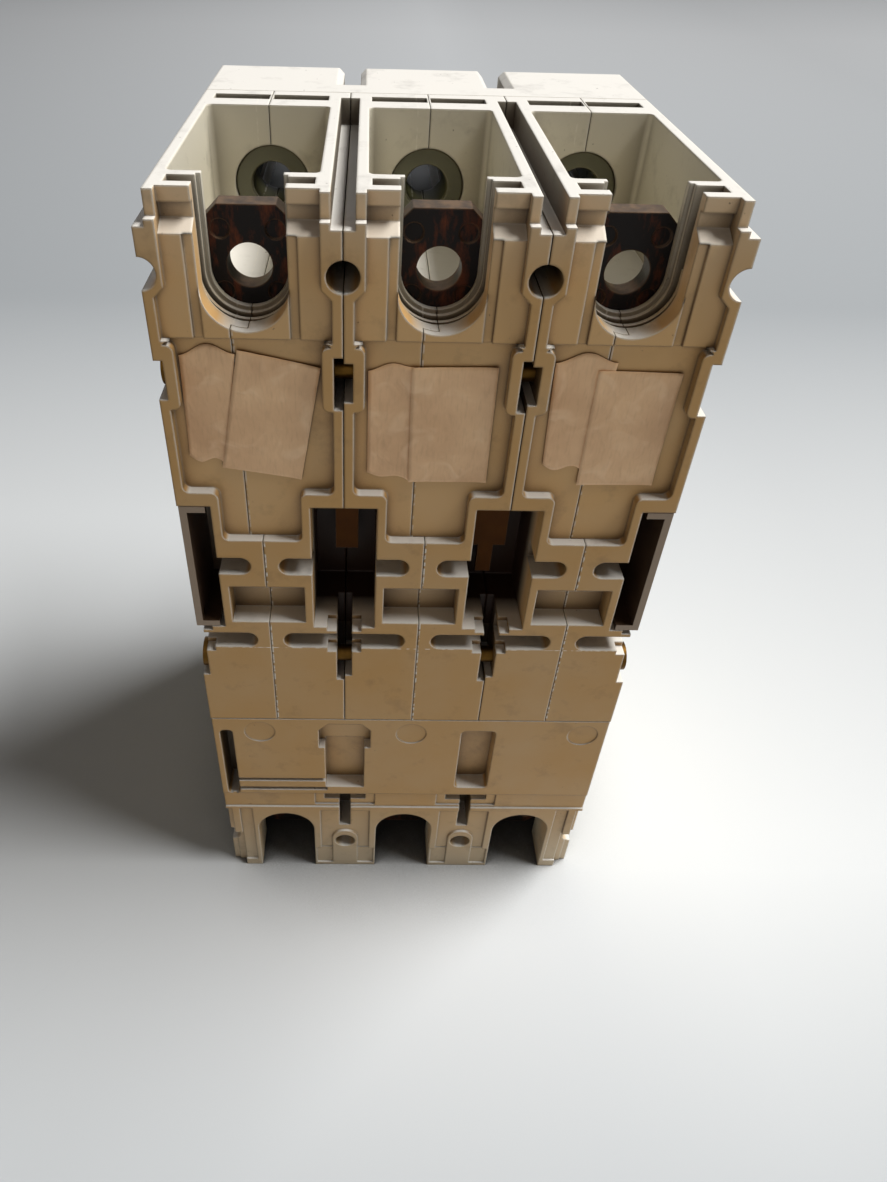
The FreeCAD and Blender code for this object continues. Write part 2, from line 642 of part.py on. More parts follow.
def pad(z_top, z_low):
    shoulder = z_top - PAD_CHAMFER
    flat = BAR_HALF - PAD_CHAMFER
    points = [(-BAR_HALF, z_low), (BAR_HALF, z_low), (BAR_HALF, shoulder), (flat, z_top), (-flat, z_top),
              (-BAR_HALF, shoulder)]
    plate = plate_y(points, (PAD_BACK, PAD_FRONT))
    plate = plate.cut(rod_y(0, ACCESS_Z[1], PAD_HOLE_R, (0, REACH)))
    for x in (-DIMPLE_SPREAD, DIMPLE_SPREAD):
        for rise in (-DIMPLE_SPREAD, DIMPLE_SPREAD + 1.6):
            plate = plate.cut(rod_y(x, ACCESS_Z[1] + rise, DIMPLE_R, (0, PAD_BACK + 0.5)))
    return plate


def line_terminal():
    x = (-BAR_HALF, BAR_HALF)
    across = box(x, (PAD_BACK, LINE_LEG_FRONT), LEG_SHELF)
    down = box(x, (LEG_BACK, LINE_LEG_FRONT), (ROTOR_Z + TIP_RADIUS - LEG_OVERLAP, LEG_SHELF[1]))
    return fuse([pad(TOP - PAD_TOP_INSET, LEG_SHELF[0]), across, down, fixed_contact()])


# Load contacts, the half turned image of the line side, reaching down into the trip unit

def joint_bolt_hole():
    return rod_y(0, JOINT_BOLT_Z, JOINT_BOLT_R + 0.1, (0, REACH))


def load_contact():
    leg = box((-BAR_HALF, BAR_HALF), (LOAD_LEG_BACK, LOAD_LEG_FRONT),
              (JOINT_BOLT_Z - JOINT_OVERLAP, ROTOR_Z - TIP_RADIUS + LEG_OVERLAP))
    return fuse([leg, half_turned(fixed_contact())]).cut(joint_bolt_hole())


def load_terminal():
    x = (-BAR_HALF, BAR_HALF)
    plate = pad(TOP - PAD_TOP_INSET, TOP - LOAD_SHELF)
    plate = plate.mirror(Vector(0, 0, TOP / 2), Vector(0, 0, 1))
    across = box(x, (PAD_BACK, RISER_FRONT), (LOAD_SHELF - BAR_THICK, LOAD_SHELF))
    up = box(x, (LOAD_LEG_FRONT, RISER_FRONT), (LOAD_SHELF - 1, JOINT_BOLT_Z + RISER_OVERLAP))
    return fuse([plate, across, up]).cut(joint_bolt_hole())


def joint_bolt():
    nut = rod_y(0, JOINT_BOLT_Z, JOINT_HEAD_R, (LOAD_LEG_BACK - JOINT_NUT, LOAD_LEG_BACK))
    shank = rod_y(0, JOINT_BOLT_Z, JOINT_BOLT_R, (LOAD_LEG_BACK - JOINT_NUT - 0.5, RISER_FRONT + 0.5))
    head = rod_y(0, JOINT_BOLT_Z, JOINT_HEAD_R, (RISER_FRONT, RISER_FRONT + JOINT_HEAD))
    return fuse([shank, head, nut])


def conductor_nodes():
    nodes = {}
    for pole, x in enumerate(POLE_X, 1):
        nodes["line_terminal_%d" % pole] = moved(line_terminal(), x)
        nodes["load_contact_%d" % pole] = moved(load_contact(), x)
        nodes["load_terminal_%d" % pole] = moved(load_terminal(), x)
    nodes["joint_bolts"] = Part.makeCompound([moved(joint_bolt(), x) for x in POLE_X])
    return nodes


# Rotors with their moving contact bars, built closed and turned open

def moving_contact():
    bar = box((-ARM_HALF_WIDTH, ARM_HALF_WIDTH), (ROTOR_Y - ARM_HALF_THICK, ROTOR_Y + ARM_HALF_THICK),
              (ROTOR_Z - ARM_LENGTH, ROTOR_Z + ARM_LENGTH))
    bar = turned(bar, ROTOR_Y, ROTOR_Z, ARM_CLOSED_TILT)
    tip = closed_tip(TIP_RADIUS, (ARM_HALF_THICK - 0.2, ARM_HALF_THICK + MOVING_TIP), ARM_HALF_WIDTH)
    return fuse([bar, tip, half_turned(tip)])


def rotor(links_here):
    drum = rod_x(ROTOR_Y, ROTOR_Z, DRUM_R, (-DRUM_HALF_WIDTH, DRUM_HALF_WIDTH))
    end = CHAMBER_HALF_WIDTH + TRUNNION_DEPTH - SEAT_GAP
    drum = fuse([drum, rod_x(ROTOR_Y, ROTOR_Z, TRUNNION_R, (-end, end))])
    gap = 0.15
    way = box((-ARM_HALF_WIDTH - gap, ARM_HALF_WIDTH + gap),
              (ROTOR_Y - ARM_HALF_THICK - gap, ROTOR_Y + ARM_HALF_THICK + gap), (ROTOR_Z - 20, ROTOR_Z + 20))
    drum = drum.cut(turned(way, ROTOR_Y, ROTOR_Z, ARM_CLOSED_TILT))
    for angle in (CLOSED_ANGLE, CLOSED_ANGLE + 180):
        y, z = arc_point(ROTOR_Y, ROTOR_Z, CRANK_R, angle)
        drum = drum.cut(rod_x(y, z, ROD_R + gap, (-REACH, REACH)))
    if links_here:
        slot = LINK_HALF_WIDTH + 0.5
        room = box((-slot, slot), (ROTOR_Y + CRANK_R - LINK_EYE_R - 0.5, ROTOR_Y + 20),
                   (ROTOR_Z - 12, ROTOR_Z + 12))
        drum = drum.cut(turned(room, ROTOR_Y, ROTOR_Z, CLOSED_ANGLE))
    return drum


def rotor_nodes():
    nodes = {}
    opening = OPEN_ANGLE - CLOSED_ANGLE
    for pole, x in enumerate(POLE_X, 1):
        nodes["rotor_%d" % pole] = moved(turned(rotor(pole == 2), ROTOR_Y, ROTOR_Z, opening), x)
        nodes["moving_contact_%d" % pole] = moved(turned(moving_contact(), ROTOR_Y, ROTOR_Z, opening), x)
    reach = POLE_PITCH + DRUM_HALF_WIDTH
    rods = []
    for angle in (OPEN_ANGLE, OPEN_ANGLE + 180):
        y, z = arc_point(ROTOR_Y, ROTOR_Z, CRANK_R, angle)
        rods.append(rod_x(y, z, ROD_R, (-reach, reach)))
    nodes["drive_rods"] = Part.makeCompound(rods)
    return nodes


# Arc chutes, notched steel plates between two fibre boards, above and below each rotor

def arc_chute():
    board = CHAMBER_HALF_WIDTH - SEAT_GAP
    inner = board - ARC_BOARD_THICK
    top = CHAMBER_TOP - SEAT_GAP
    low = ROTOR_Z + ARM_LENGTH - ARC_PLATE_LEGS
    leg = ARM_HALF_WIDTH + ARC_LEG_GAP
    crown = ROTOR_Z + ARM_LENGTH + ARC_CROWN_GAP
    first = LINE_LEG_FRONT + ARC_PLATE_START
    count = int((CHAMBER_FRONT - first - ARC_PLATE_THICK) / ARC_PLATE_PITCH)
    outline = [(-inner, top), (inner, top), (inner, low), (leg + 1.5, low), (leg, crown), (-leg, crown),
               (-leg - 1.5, low), (-inner, low)]
    places = [first + i * ARC_PLATE_PITCH for i in range(count)]
    pieces = [plate_y(outline, (y, y + ARC_PLATE_THICK)) for y in places]
    reach = (first - ARC_BOARD_THICK, places[-1] + ARC_PLATE_THICK + ARC_BOARD_THICK)
    for x in ((inner, board), (-board, -inner)):
        pieces.append(box(x, reach, (low - 1.0, top)))
    return pieces


def arc_chute_nodes():
    nodes = {}
    for pole, x in enumerate(POLE_X, 1):
        upper = [moved(piece, x) for piece in arc_chute()]
        lower = [moved(half_turned(piece), x) for piece in arc_chute()]
        nodes["arc_chutes_%d" % pole] = Part.makeCompound(upper + lower)
    return nodes


# Toggle handle with its curved skirt, moulded, on a steel yoke

def toggle_handle():
    tip = TOGGLE_HALF_THICK - 1.2
    root = TOGGLE_HALF_THICK
    lever = [(HANDLE_Y + YOKE_R, ROTOR_Z - root), (HANDLE_Y + SKIRT_R + 2, ROTOR_Z - root),
             (HANDLE_Y + HANDLE_R, ROTOR_Z - tip), (HANDLE_Y + HANDLE_R, ROTOR_Z + tip),
             (HANDLE_Y + SKIRT_R + 2, ROTOR_Z + root), (HANDLE_Y + YOKE_R, ROTOR_Z + root)]
    lever = plate_x(lever, (-TOGGLE_HALF_WIDTH, TOGGLE_HALF_WIDTH))
    crown = [e for e in lever.Edges if min(v.Y for v in e.Vertexes) > HANDLE_Y + HANDLE_R - 0.1]
    lever = lever.makeFillet(1.5, crown)
    skirt = sector_x(HANDLE_Y, ROTOR_Z, SKIRT_R - SKIRT_THICK, SKIRT_R, (-SKIRT_ANGLE, SKIRT_ANGLE),
                     (-SKIRT_HALF_WIDTH, SKIRT_HALF_WIDTH))
    return turned(fuse([lever, skirt]), HANDLE_Y, ROTOR_Z, OPEN_ANGLE)


def handle_yoke():
    outer = YOKE_INNER + YOKE_THICK
    half = 5.0
    arm = fuse([box((YOKE_INNER, outer), (HANDLE_Y, HANDLE_Y + YOKE_R), (ROTOR_Z - half, ROTOR_Z + half)),
                rod_x(HANDLE_Y, ROTOR_Z, half, (YOKE_INNER, outer))])
    bridge = box((-outer, outer), (HANDLE_Y + YOKE_R - YOKE_THICK, HANDLE_Y + YOKE_R),
                 (ROTOR_Z - half, ROTOR_Z + half))
    yoke = fuse(both_sides(arm) + [bridge])
    yoke = yoke.cut(rod_x(HANDLE_Y, ROTOR_Z, PIVOT_R + RUN_FIT, (-REACH, REACH)))
    yoke = yoke.cut(rod_x(HANDLE_Y + CRANK_R, ROTOR_Z, ROD_R, (-REACH, REACH)))
    return turned(yoke, HANDLE_Y, ROTOR_Z, OPEN_ANGLE)


def crank_pin():
    reach = YOKE_INNER + YOKE_THICK
    pin = rod_x(HANDLE_Y + CRANK_R, ROTOR_Z, ROD_R, (-reach, reach))
    return turned(pin, HANDLE_Y, ROTOR_Z, OPEN_ANGLE)


# Drive link from the crank pin to the front drive rod, parallel to the line between the two pivots

def drive_link():
    y, z = arc_point(ROTOR_Y, ROTOR_Z, CRANK_R, OPEN_ANGLE)
    far = y + HANDLE_Y - ROTOR_Y
    x = (-LINK_HALF_WIDTH, LINK_HALF_WIDTH)
    link = fuse([box(x, (y, far), (z - 3, z + 3)), rod_x(y, z, LINK_EYE_R, x), rod_x(far, z, LINK_EYE_R, x)])
    for end in (y, far):
        link = link.cut(rod_x(end, z, ROD_R + RUN_FIT, x))
    return link


# Mechanism side plates with bent feet, their pins, screws and the two operating springs

def side_plate():
    y = (CASSETTE_DEPTH, PLATE_FRONT)
    z = (ROTOR_Z - PLATE_HALF_HEIGHT - 4, ROTOR_Z + PLATE_HALF_HEIGHT)
    outer = PLATE_INNER + PLATE_THICK
    profile = [(y[0], z[0]), (y[1] - 8, z[0]), (y[1], z[0] + 10), (y[1], z[1] - 10), (y[1] - 8, z[1]),
               (y[0], z[1])]
    plate = plate_x(profile, (PLATE_INNER, outer))
    foot = box((PLATE_INNER, outer + PLATE_FLANGE), (y[0], y[0] + PLATE_THICK), z)
    plate = fuse([plate, foot])
    plate = plate.cut(rod_x(HANDLE_Y, ROTOR_Z, PIVOT_R, (0, REACH)))
    plate = plate.cut(rod_x(ANCHOR_Y, ROTOR_Z, ANCHOR_R, (0, REACH)))
    plate = plate.cut(rod_x(LATCH_Y, LATCH_Z, LATCH_PIN_R, (0, REACH)))
    for x, place in mechanism_screw_places():
        plate = plate.cut(rod_y(x, place, SCREW_R + 0.1, (0, REACH)))
    return plate


def mechanism_screw_places():
    x = PLATE_INNER + PLATE_THICK + PLATE_FLANGE / 2
    return [(x, ROTOR_Z + PLATE_HALF_HEIGHT - 6), (x, ROTOR_Z - PLATE_HALF_HEIGHT + 2)]


def mechanism_screw(x, z):
    seat = CASSETTE_DEPTH + PLATE_THICK
    return fuse([rod_y(x, z, SCREW_R, (CASSETTE_DEPTH - SCREW_BITE, seat + 0.5)),
                 rod_y(x, z, SCREW_HEAD_R - 0.4, (seat, seat + 2))])


def operating_spring():
    y1, z1 = arc_point(HANDLE_Y, ROTOR_Z, CRANK_R, OPEN_ANGLE)
    anchor = Vector(SPRING_X, ANCHOR_Y, ROTOR_Z)
    way = Vector(0, y1 - ANCHOR_Y, z1 - ROTOR_Z)
    length = way.Length
    way.normalize()
    wire = SPRING_WIRE / 2
    first = ANCHOR_R + 1.6
    last = length - ROD_R - 1.8
    coil = Part.makeCylinder(SPRING_R, last - first, anchor + way * first, way)
    hollow = last - first - SPRING_WIRE
    coil = coil.cut(Part.makeCylinder(SPRING_R - SPRING_WIRE, hollow, anchor + way * (first + wire), way))
    pieces = [coil]
    for y, z, bore in ((ANCHOR_Y, ROTOR_Z, ANCHOR_R + RUN_FIT), (y1, z1, ROD_R + HOOK_PLAY)):
        eye = rod_x(y, z, bore + SPRING_WIRE, (SPRING_X - wire, SPRING_X + wire))
        pieces.append(eye.cut(rod_x(y, z, bore, (0, REACH))))
    root = ANCHOR_R + RUN_FIT + wire
    pieces.append(Part.makeCylinder(wire * 0.9, first - root + wire / 2, anchor + way * root, way))
    end = length - ROD_R - HOOK_PLAY - wire
    pieces.append(Part.makeCylinder(wire * 0.9, end - last + wire / 2, anchor + way * (last - wire / 2), way))
    return fuse(pieces)


def mechanism_nodes():
    outer = PLATE_INNER + PLATE_THICK
    pivots = both_sides(rod_x(HANDLE_Y, ROTOR_Z, PIVOT_R, (YOKE_INNER - 0.3, outer)))
    anchors = both_sides(rod_x(ANCHOR_Y, ROTOR_Z, ANCHOR_R, (SPRING_X - 1.5, outer)))
    latch_pin = rod_x(LATCH_Y, LATCH_Z, LATCH_PIN_R, (-outer, outer))
    screws = []
    for x, z in mechanism_screw_places():
        screws += [mechanism_screw(x, z), mechanism_screw(-x, z)]
    plate = side_plate()
    return {"toggle_handle": toggle_handle(), "handle_yoke": handle_yoke(), "crank_pin": crank_pin(),
            "drive_link": drive_link(), "mechanism_plate_right": plate,
            "mechanism_plate_left": mirrored(plate),
            "pivot_pins": Part.makeCompound(pivots + anchors + [latch_pin] + armature_pins()),
            "mechanism_screws": Part.makeCompound(screws),
            "operating_springs": Part.makeCompound(both_sides(operating_spring())),
            "trip_latch": trip_latch()}


# Trip latch, a steel rocker whose tail stands in front of the trip bar's long finger

def finger_front():
    return BAR_Y + FINGER_HALF_THICK


def trip_latch():
    x = (-LATCH_HALF_WIDTH, LATCH_HALF_WIDTH)
    tail = finger_front() + 0.1
    foot = TU_COVER_TOP - 0.5
    eye = rod_x(LATCH_Y, LATCH_Z, 4.0, x)
    body = plate_x([(tail, foot), (tail + 3, foot), (tail + 3, LATCH_Z - 3), (LATCH_Y + 3, LATCH_Z + 2.6),
                    (LATCH_Y - 2, LATCH_Z - 3.4), (tail, LATCH_Z - 10)], x)
    nose = plate_x([(LATCH_Y - 6.5, LATCH_Z + 1.5), (LATCH_Y - 3, LATCH_Z - 2.5), (LATCH_Y, LATCH_Z),
                    (LATCH_Y - 2, LATCH_Z + 3.4)], x)
    latch = fuse([eye, body, nose])
    return latch.cut(rod_x(LATCH_Y, LATCH_Z, LATCH_PIN_R + RUN_FIT, (-REACH, REACH)))


# Trip unit case, which also forms the load end with an arch for each pole

def arch_cut(x):
    centre = ARCH_TOP - ARCH_HALF
    return fuse([box((x - ARCH_HALF, x + ARCH_HALF), (-1, POCKET_REAR + 1), (-1, centre)),
                 rod_y(x, centre, ARCH_HALF, (-1, POCKET_REAR + 1))])


def post_relief(x):
    half = 7.2
    low = 9.5
    high = ARCH_TOP + 1.6
    relief = box((x - half, x + half), (-1, 0.7), (low, high))
    boss_half = 3.8
    boss = fuse([box((x - boss_half, x + boss_half), (-2, 1), (0, HOLE_Z[0] + 1.5)),
                 rod_y(x, HOLE_Z[0] + 1.5, boss_half, (-2, 1))])
    return relief.cut(boss)


def load_slot(x):
    step = LOAD_BAND_TOP
    frame = box((x - 8.6, x + 8.6), (-1, 1.0), (step - 6.0, step - 0.6))
    inner = box((x - 5.9, x + 5.9), (-1, 3.0), (step - 3.8, step - 0.6))
    slit = box((x - 1.6, x + 1.6), (-1, 9.0), (step - 17.0, step - 0.6))
    return [frame, inner, slit]


def rear_pockets():
    top = TRIP_UNIT_HEIGHT
    left = JOINT_X[0]
    head = [(left - 6.9, top - 12.0), (left + 6.9, top - 12.0), (left + 6.9, top - 4.6),
            (left + 4.4, top - 2.0), (left - 4.4, top - 2.0), (left - 6.9, top - 4.6)]
    tee = plate_y(head, (-1, 3.0))
    stem = box((left - 5.3, left + 5.3), (-1, 4.0), (top - 30.0, top - 11.0))
    right = rounded_box((JOINT_X[1] - 3.9, JOINT_X[1] + 5.3), (-1, 4.5), (top - 30.0, top - 4.4), 1.4)
    side = rounded_box((-CASE_HALF + 1.8, -CASE_HALF + 5.2), (-1, 8.0), (top - 33.4, top - 4.8), 1.2)
    groove_x = (-POLE_PITCH - 12.2, left - 5.0)
    grooves = [box(groove_x, (-1, 1.2), (z, z + 1.3)) for z in (top - 31.6, top - 27.4)]
    return [tee, stem, right, side] + grooves


def ejector_marks():
    places = ((-40.0, 66.4), (0.2, 66.0), (46.0, 66.0))
    return [rod_y(x, z, EJECTOR_R, (-1, EJECTOR_DEPTH)) for x, z in places]


def foot_relief(x):
    half = 8.6
    boss = box((x - 3.8, x + 3.8), (-2, 1), (0, HOLE_Z[0]))
    return box((x - half, x + half), (-1, 0.5), (FOOT_LIP, 9.5)).cut(boss)


def load_end_sides():
    edge = CASE_HALF
    outer = box((edge - 1.9, edge + 1), (-1, 2.4), (-1, 30.6))
    foot = box((edge - 4.2, edge + 1), (-1, 2.0), (-1, 18.0))
    rib = box((POLE_PITCH + 9.6, edge - 4.2), (-1, 0.6), (3.0, 30.6))
    return both_sides(fuse([outer, foot])) + both_sides(rib)


def trip_unit_case():
    front = CASSETTE_DEPTH
    width = (-CASE_HALF + 0.2, CASE_HALF - 0.2)
    case = box(width, (0, front), (0, TRIP_UNIT_HEIGHT))
    band_top = LOAD_BAND_TOP
    cuts = [box((-CASE_HALF - 1, CASE_HALF + 1), (-1, 0.5), (band_top - LOAD_BAND_HEIGHT, band_top))]
    cuts += rear_pockets() + load_end_sides() + ejector_marks()
    for x in JOINT_X:
        cuts += load_slot(x)
        cuts += [post_relief(x), foot_relief(x)]
        slot = (x - BARRIER_SLOT_WIDTH / 2, x + BARRIER_SLOT_WIDTH / 2)
        cuts.append(box(slot, (POCKET_REAR, BARRIER_SLOT_STOP), (-1, BARRIER_SLOT_DEPTH)))
    cuts += both_sides(box((OUTER_SLOT, OUTER_JOINT), (POCKET_REAR, front + 1), (-1, BARRIER_SLOT_DEPTH)))
    for x in JOINT_X + (-OUTER_JOINT, OUTER_JOINT):
        cuts.append(rod_y(x, HOLE_Z[0], MOUNT_HOLE_R, (-1, front + 1)))
    gap = SEAT_GAP
    for x in POLE_X:
        cuts.append(arch_cut(x))
        pocket = (x - POCKET_HALF, x + POCKET_HALF)
        cuts.append(box(pocket, (POCKET_REAR, POCKET_FRONT), (-1, POCKET_DEPTH)))
        cuts.append(box((x - TU_CHAMBER_HALF, x + TU_CHAMBER_HALF), (TU_CHAMBER_REAR, front + 1),
                        (TU_CHAMBER_FLOOR, TRIP_UNIT_HEIGHT - TU_WALL)))
        way = (x - CHANNEL_HALF, x + CHANNEL_HALF)
        cuts.append(box(way, (PAD_BACK - gap, PAD_FRONT + gap), (POCKET_DEPTH - 1, LOAD_SHELF + gap)))
        shelf = (LOAD_SHELF - BAR_THICK - gap, LOAD_SHELF + gap)
        cuts.append(box(way, (PAD_BACK - gap, RISER_FRONT + gap), shelf))
        cuts.append(box(way, (LOAD_LEG_FRONT - gap, RISER_FRONT + gap), (LOAD_SHELF, TU_CHAMBER_FLOOR + 1)))
        cuts.append(box(way, (LOAD_LEG_BACK - gap, LOAD_LEG_FRONT + gap),
                        (TRIP_UNIT_HEIGHT - TU_WALL - 1, TRIP_UNIT_HEIGHT + 1)))
        cuts.append(rod_y(x, ACCESS_Z[0], ACCESS_HOLE_R, (POCKET_FRONT - 1, front + 1)))
        pin = TU_CHAMBER_HALF + 0.8
        cuts.append(rod_x(ARMATURE_Y, ARMATURE_Z, ARMATURE_PIN_R, (x - pin, x + pin)))
    for x, z in end_screw_places(0):
        cuts.append(rod_y(x, z, SCREW_R + RUN_FIT, (front - SCREW_BITE - 0.2, front + 1)))
    for tool in cuts:
        case = case.cut(tool)
    return case


# Bimetals with their calibration screws, magnet yokes, armatures and the armature pins

def bimetal():
    strip = box((-4, 4), (RISER_FRONT + 1.5, RISER_FRONT + 2.7), (TU_CHAMBER_FLOOR + 1, BAR_Z + 7.5))
    spacer = box((-4, 4), (RISER_FRONT, RISER_FRONT + 1.6), (TU_CHAMBER_FLOOR + 1, TU_CHAMBER_FLOOR + 7))
    screw = rod_y(0, BAR_Z + 5.2, 1.2, (RISER_FRONT + 1.0, BAR_Y - FINGER_HALF_THICK - 0.6))
    return fuse([strip, spacer, screw])


def magnet_yoke():
    half = ARMATURE_HALF_WIDTH
    z = (TU_CHAMBER_FLOOR + 0.1, ARMATURE_Z - 2.2)
    rear = LOAD_LEG_FRONT - YOKE_PLATE
    back = box((-half, half), (rear, LOAD_LEG_FRONT - 0.1), z)
    leg = box((BAR_HALF + 0.2, half), (rear, RISER_FRONT + YOKE_PLATE), z)
    return fuse([back] + both_sides(leg))


def armature():
    x = (-ARMATURE_HALF_WIDTH, ARMATURE_HALF_WIDTH)
    y = (ARMATURE_Y - 1.0, ARMATURE_Y + 1.0)
    plate = box(x, y, (ARMATURE_Z - ARMATURE_LENGTH, ARMATURE_Z))
    curl = rod_x(ARMATURE_Y, ARMATURE_Z, ARMATURE_PIN_R + 0.9, x)
    arm_x = (ARMATURE_ARM_X, ARMATURE_ARM_X + ARMATURE_ARM_WIDTH)
    top = ARMATURE_Z + ARMATURE_ARM_RISE
    tip = BAR_Y - FINGER_HALF_THICK - ARMATURE_TIP_GAP
    post = box(arm_x, y, (ARMATURE_Z, top))
    arm = box(arm_x, (y[0], tip), (top - 2.5, top))
    return fuse([plate, curl, post, arm]).cut(rod_x(ARMATURE_Y, ARMATURE_Z, ARMATURE_PIN_R + RUN_FIT, x))


def release_nodes():
    nodes = {"armature_%d" % i: moved(armature(), x) for i, x in enumerate(POLE_X, 1)}
    nodes["bimetals"] = Part.makeCompound([moved(bimetal(), x) for x in POLE_X])
    nodes["magnet_yokes"] = Part.makeCompound([moved(magnet_yoke(), x) for x in POLE_X])
    return nodes


def armature_pins():
    end = TU_CHAMBER_HALF + 0.7
    return [rod_x(ARMATURE_Y, ARMATURE_Z, ARMATURE_PIN_R, (x - end, x + end)) for x in POLE_X]


# Trip bar, a moulded shaft with a finger for each pole, one for the button and a long one for the latch

def trip_bar():
    y = (BAR_Y - FINGER_HALF_THICK, BAR_Y + FINGER_HALF_THICK)
    reach = TU_COVER_HALF - TU_COVER_WALL - SEAT_GAP
    pieces = [rod_x(BAR_Y, BAR_Z, BAR_R, (-reach, reach))]
    for x in POLE_X:
        side = x + ARMATURE_ARM_X + ARMATURE_ARM_WIDTH
        pieces.append(box((x - 2.5, side), y, (BAR_Z, ARMATURE_Z + ARMATURE_ARM_RISE + 1.5)))
    pieces.append(box((-3, 3), y, (BAR_Z, TU_COVER_TOP + 2.5)))
    pieces.append(box((BUTTON_X - 3, BUTTON_X + 3), y, (BUTTON_Z - 3.0, BAR_Z)))
    return fuse(pieces)


# Push to trip button and its return spring

def button_front():
    return COVER_FRONT + TU_FRONT_RISE


def cage_rear():
    return BAR_Y + FINGER_HALF_THICK + 2.0


def trip_button():
    flange_back = button_front() - 8.0
    pieces = [rod_y(BUTTON_X, BUTTON_Z, BUTTON_R, (flange_back, button_front() + BUTTON_PROUD)),
              rod_y(BUTTON_X, BUTTON_Z, BUTTON_R + 1.5, (flange_back, flange_back + 1.9)),
              rod_y(BUTTON_X, BUTTON_Z, BUTTON_R - 1.2, (finger_front() + 0.1, flange_back + 0.1))]
    return fuse(pieces)


def trip_button_spring():
    flange_back = button_front() - 8.0
    start = cage_rear() + 1.5
    outer = rod_y(BUTTON_X, BUTTON_Z, BUTTON_R, (start, flange_back))
    return outer.cut(rod_y(BUTTON_X, BUTTON_Z, BUTTON_R - 0.8, (start, flange_back)))


# Adjustment dials with a screwdriver slot

def dial(x):
    front = button_front()
    seat = front - 2.0
    disc = rod_y(x, DIAL_Z, DIAL_R, (seat + 0.2, front + 0.6))
    shaft = rod_y(x, DIAL_Z, DIAL_SHAFT_R, (front - 8.0, seat + 1))
    clip = rod_y(x, DIAL_Z, DIAL_SHAFT_R + 1.4, (front - 8.0, front - 6.2))
    knob = fuse([disc, shaft, clip])
    slot = box((x - 0.7, x + 0.7), (front - 0.8, front + 1), (DIAL_Z - DIAL_R + 1.2, DIAL_Z + DIAL_R - 1.2))
    pointer = box((x - 0.5, x + 0.5), (front, front + 1), (DIAL_Z + DIAL_R - 1.3, DIAL_Z + DIAL_R + 1))
    return knob.cut(slot).cut(pointer)


# Trip unit front cover, with the bearings of the trip bar and the cage of the button spring

def trip_unit_cover():
    half = TU_COVER_HALF
    wall = TU_COVER_WALL
    front = COVER_FRONT - COVER_WALL - SEAT_GAP
    rear = CASSETTE_DEPTH
    shell = box((-half, half), (rear, front), (TU_COVER_FOOT, TU_COVER_TOP))
    inner_front = front - wall
    hollow = box((wall - half, half - wall), (rear - 1, inner_front),
                 (TU_COVER_FOOT + wall, TU_COVER_TOP - wall))
    face = rounded_box((-TU_FRONT_HALF, TU_FRONT_HALF), (inner_front, button_front()),
                       (TU_FRONT_FOOT, TU_FRONT_TOP), 2.0)
    pieces = [shell.cut(hollow), face]
    for x in JOINT_X:
        pieces.append(box((x - 1.2, x + 1.2), (BAR_Y - 5, inner_front + 0.5), (BAR_Z - 6, BAR_Z + 6)))
    cage = box((BUTTON_X - 6, BUTTON_X + 6), (cage_rear(), inner_front + 0.5), (BUTTON_Z - 6, BUTTON_Z + 6))
    room = box((BUTTON_X - 4.8, BUTTON_X + 4.8), (cage_rear() + 1.5, inner_front),
               (BUTTON_Z - 4.8, BUTTON_Z + 4.8))
    pieces.append(cage.cut(room))
    body = fuse(pieces)
    cuts = [rod_x(BAR_Y, BAR_Z, BAR_R + RUN_FIT, (-half + wall, half - wall)),
            rod_y(BUTTON_X, BUTTON_Z, BUTTON_R - 1.1, (0, cage_rear() + 3)),
            rod_y(BUTTON_X, BUTTON_Z, BUTTON_R + RUN_FIT, (inner_front - 1, REACH)),
            box((-4, 4), (BAR_Y - 4, inner_front - 0.5), (TU_COVER_TOP - wall - 1, TU_COVER_TOP + 1))]
    for x in DIAL_X:
        cuts.append(rod_y(x, DIAL_Z, DIAL_R + SEAT_GAP, (button_front() - 2.0, REACH)))
        cuts.append(rod_y(x, DIAL_Z, DIAL_SHAFT_R + RUN_FIT, (inner_front - 1, REACH)))
    for x in JOINT_X:
        cuts.append(rod_y(x, HOLE_Z[0], MOUNT_HEAD_R + TUBE_WALL + 0.3, (0, REACH)))
    for tool in cuts:
        body = body.cut(tool)
    return body


def trip_unit_nodes():
    return {"trip_unit_case": trip_unit_case(), "trip_unit_cover": trip_unit_cover(), "trip_bar": trip_bar(),
            "trip_button": trip_button(), "trip_button_spring": trip_button_spring(),
            "dial_thermal": dial(DIAL_X[0]), "dial_magnetic": dial(DIAL_X[1])}


# Front covers, one over the mechanism and the trip unit, and one over the terminals at each end

def acc_window():
    return (ACC_PLATE_FOOT + ACC_RIM, ACC_PLATE_TOP - ACC_RIM)


def acc_half():
    return ACC_PLATE_HALF - ACC_RIM


def acc_screw_places():
    inset = ACC_RIM / 2
    return [(x, z) for x in (-ACC_PLATE_HALF + inset, ACC_PLATE_HALF - inset)
            for z in (ACC_PLATE_FOOT + inset, ACC_PLATE_TOP - inset)]


def cover_shell(low, high):
    body = box((-COVER_HALF, COVER_HALF), (COVER_REAR, COVER_FRONT), (low, high))
    body = rounded(body, 1.0, Vector(0, 1, 0))
    rim = [e for e in body.Edges if min(v.Y for v in e.Vertexes) > COVER_FRONT - 0.01]
    body = body.makeFillet(0.9, rim)
    inner_half = COVER_HALF - COVER_WALL
    inner_z = (low + COVER_END_WALL, high - COVER_END_WALL)
    return body.cut(box((-inner_half, inner_half), (COVER_REAR - 1, COVER_INNER), inner_z))


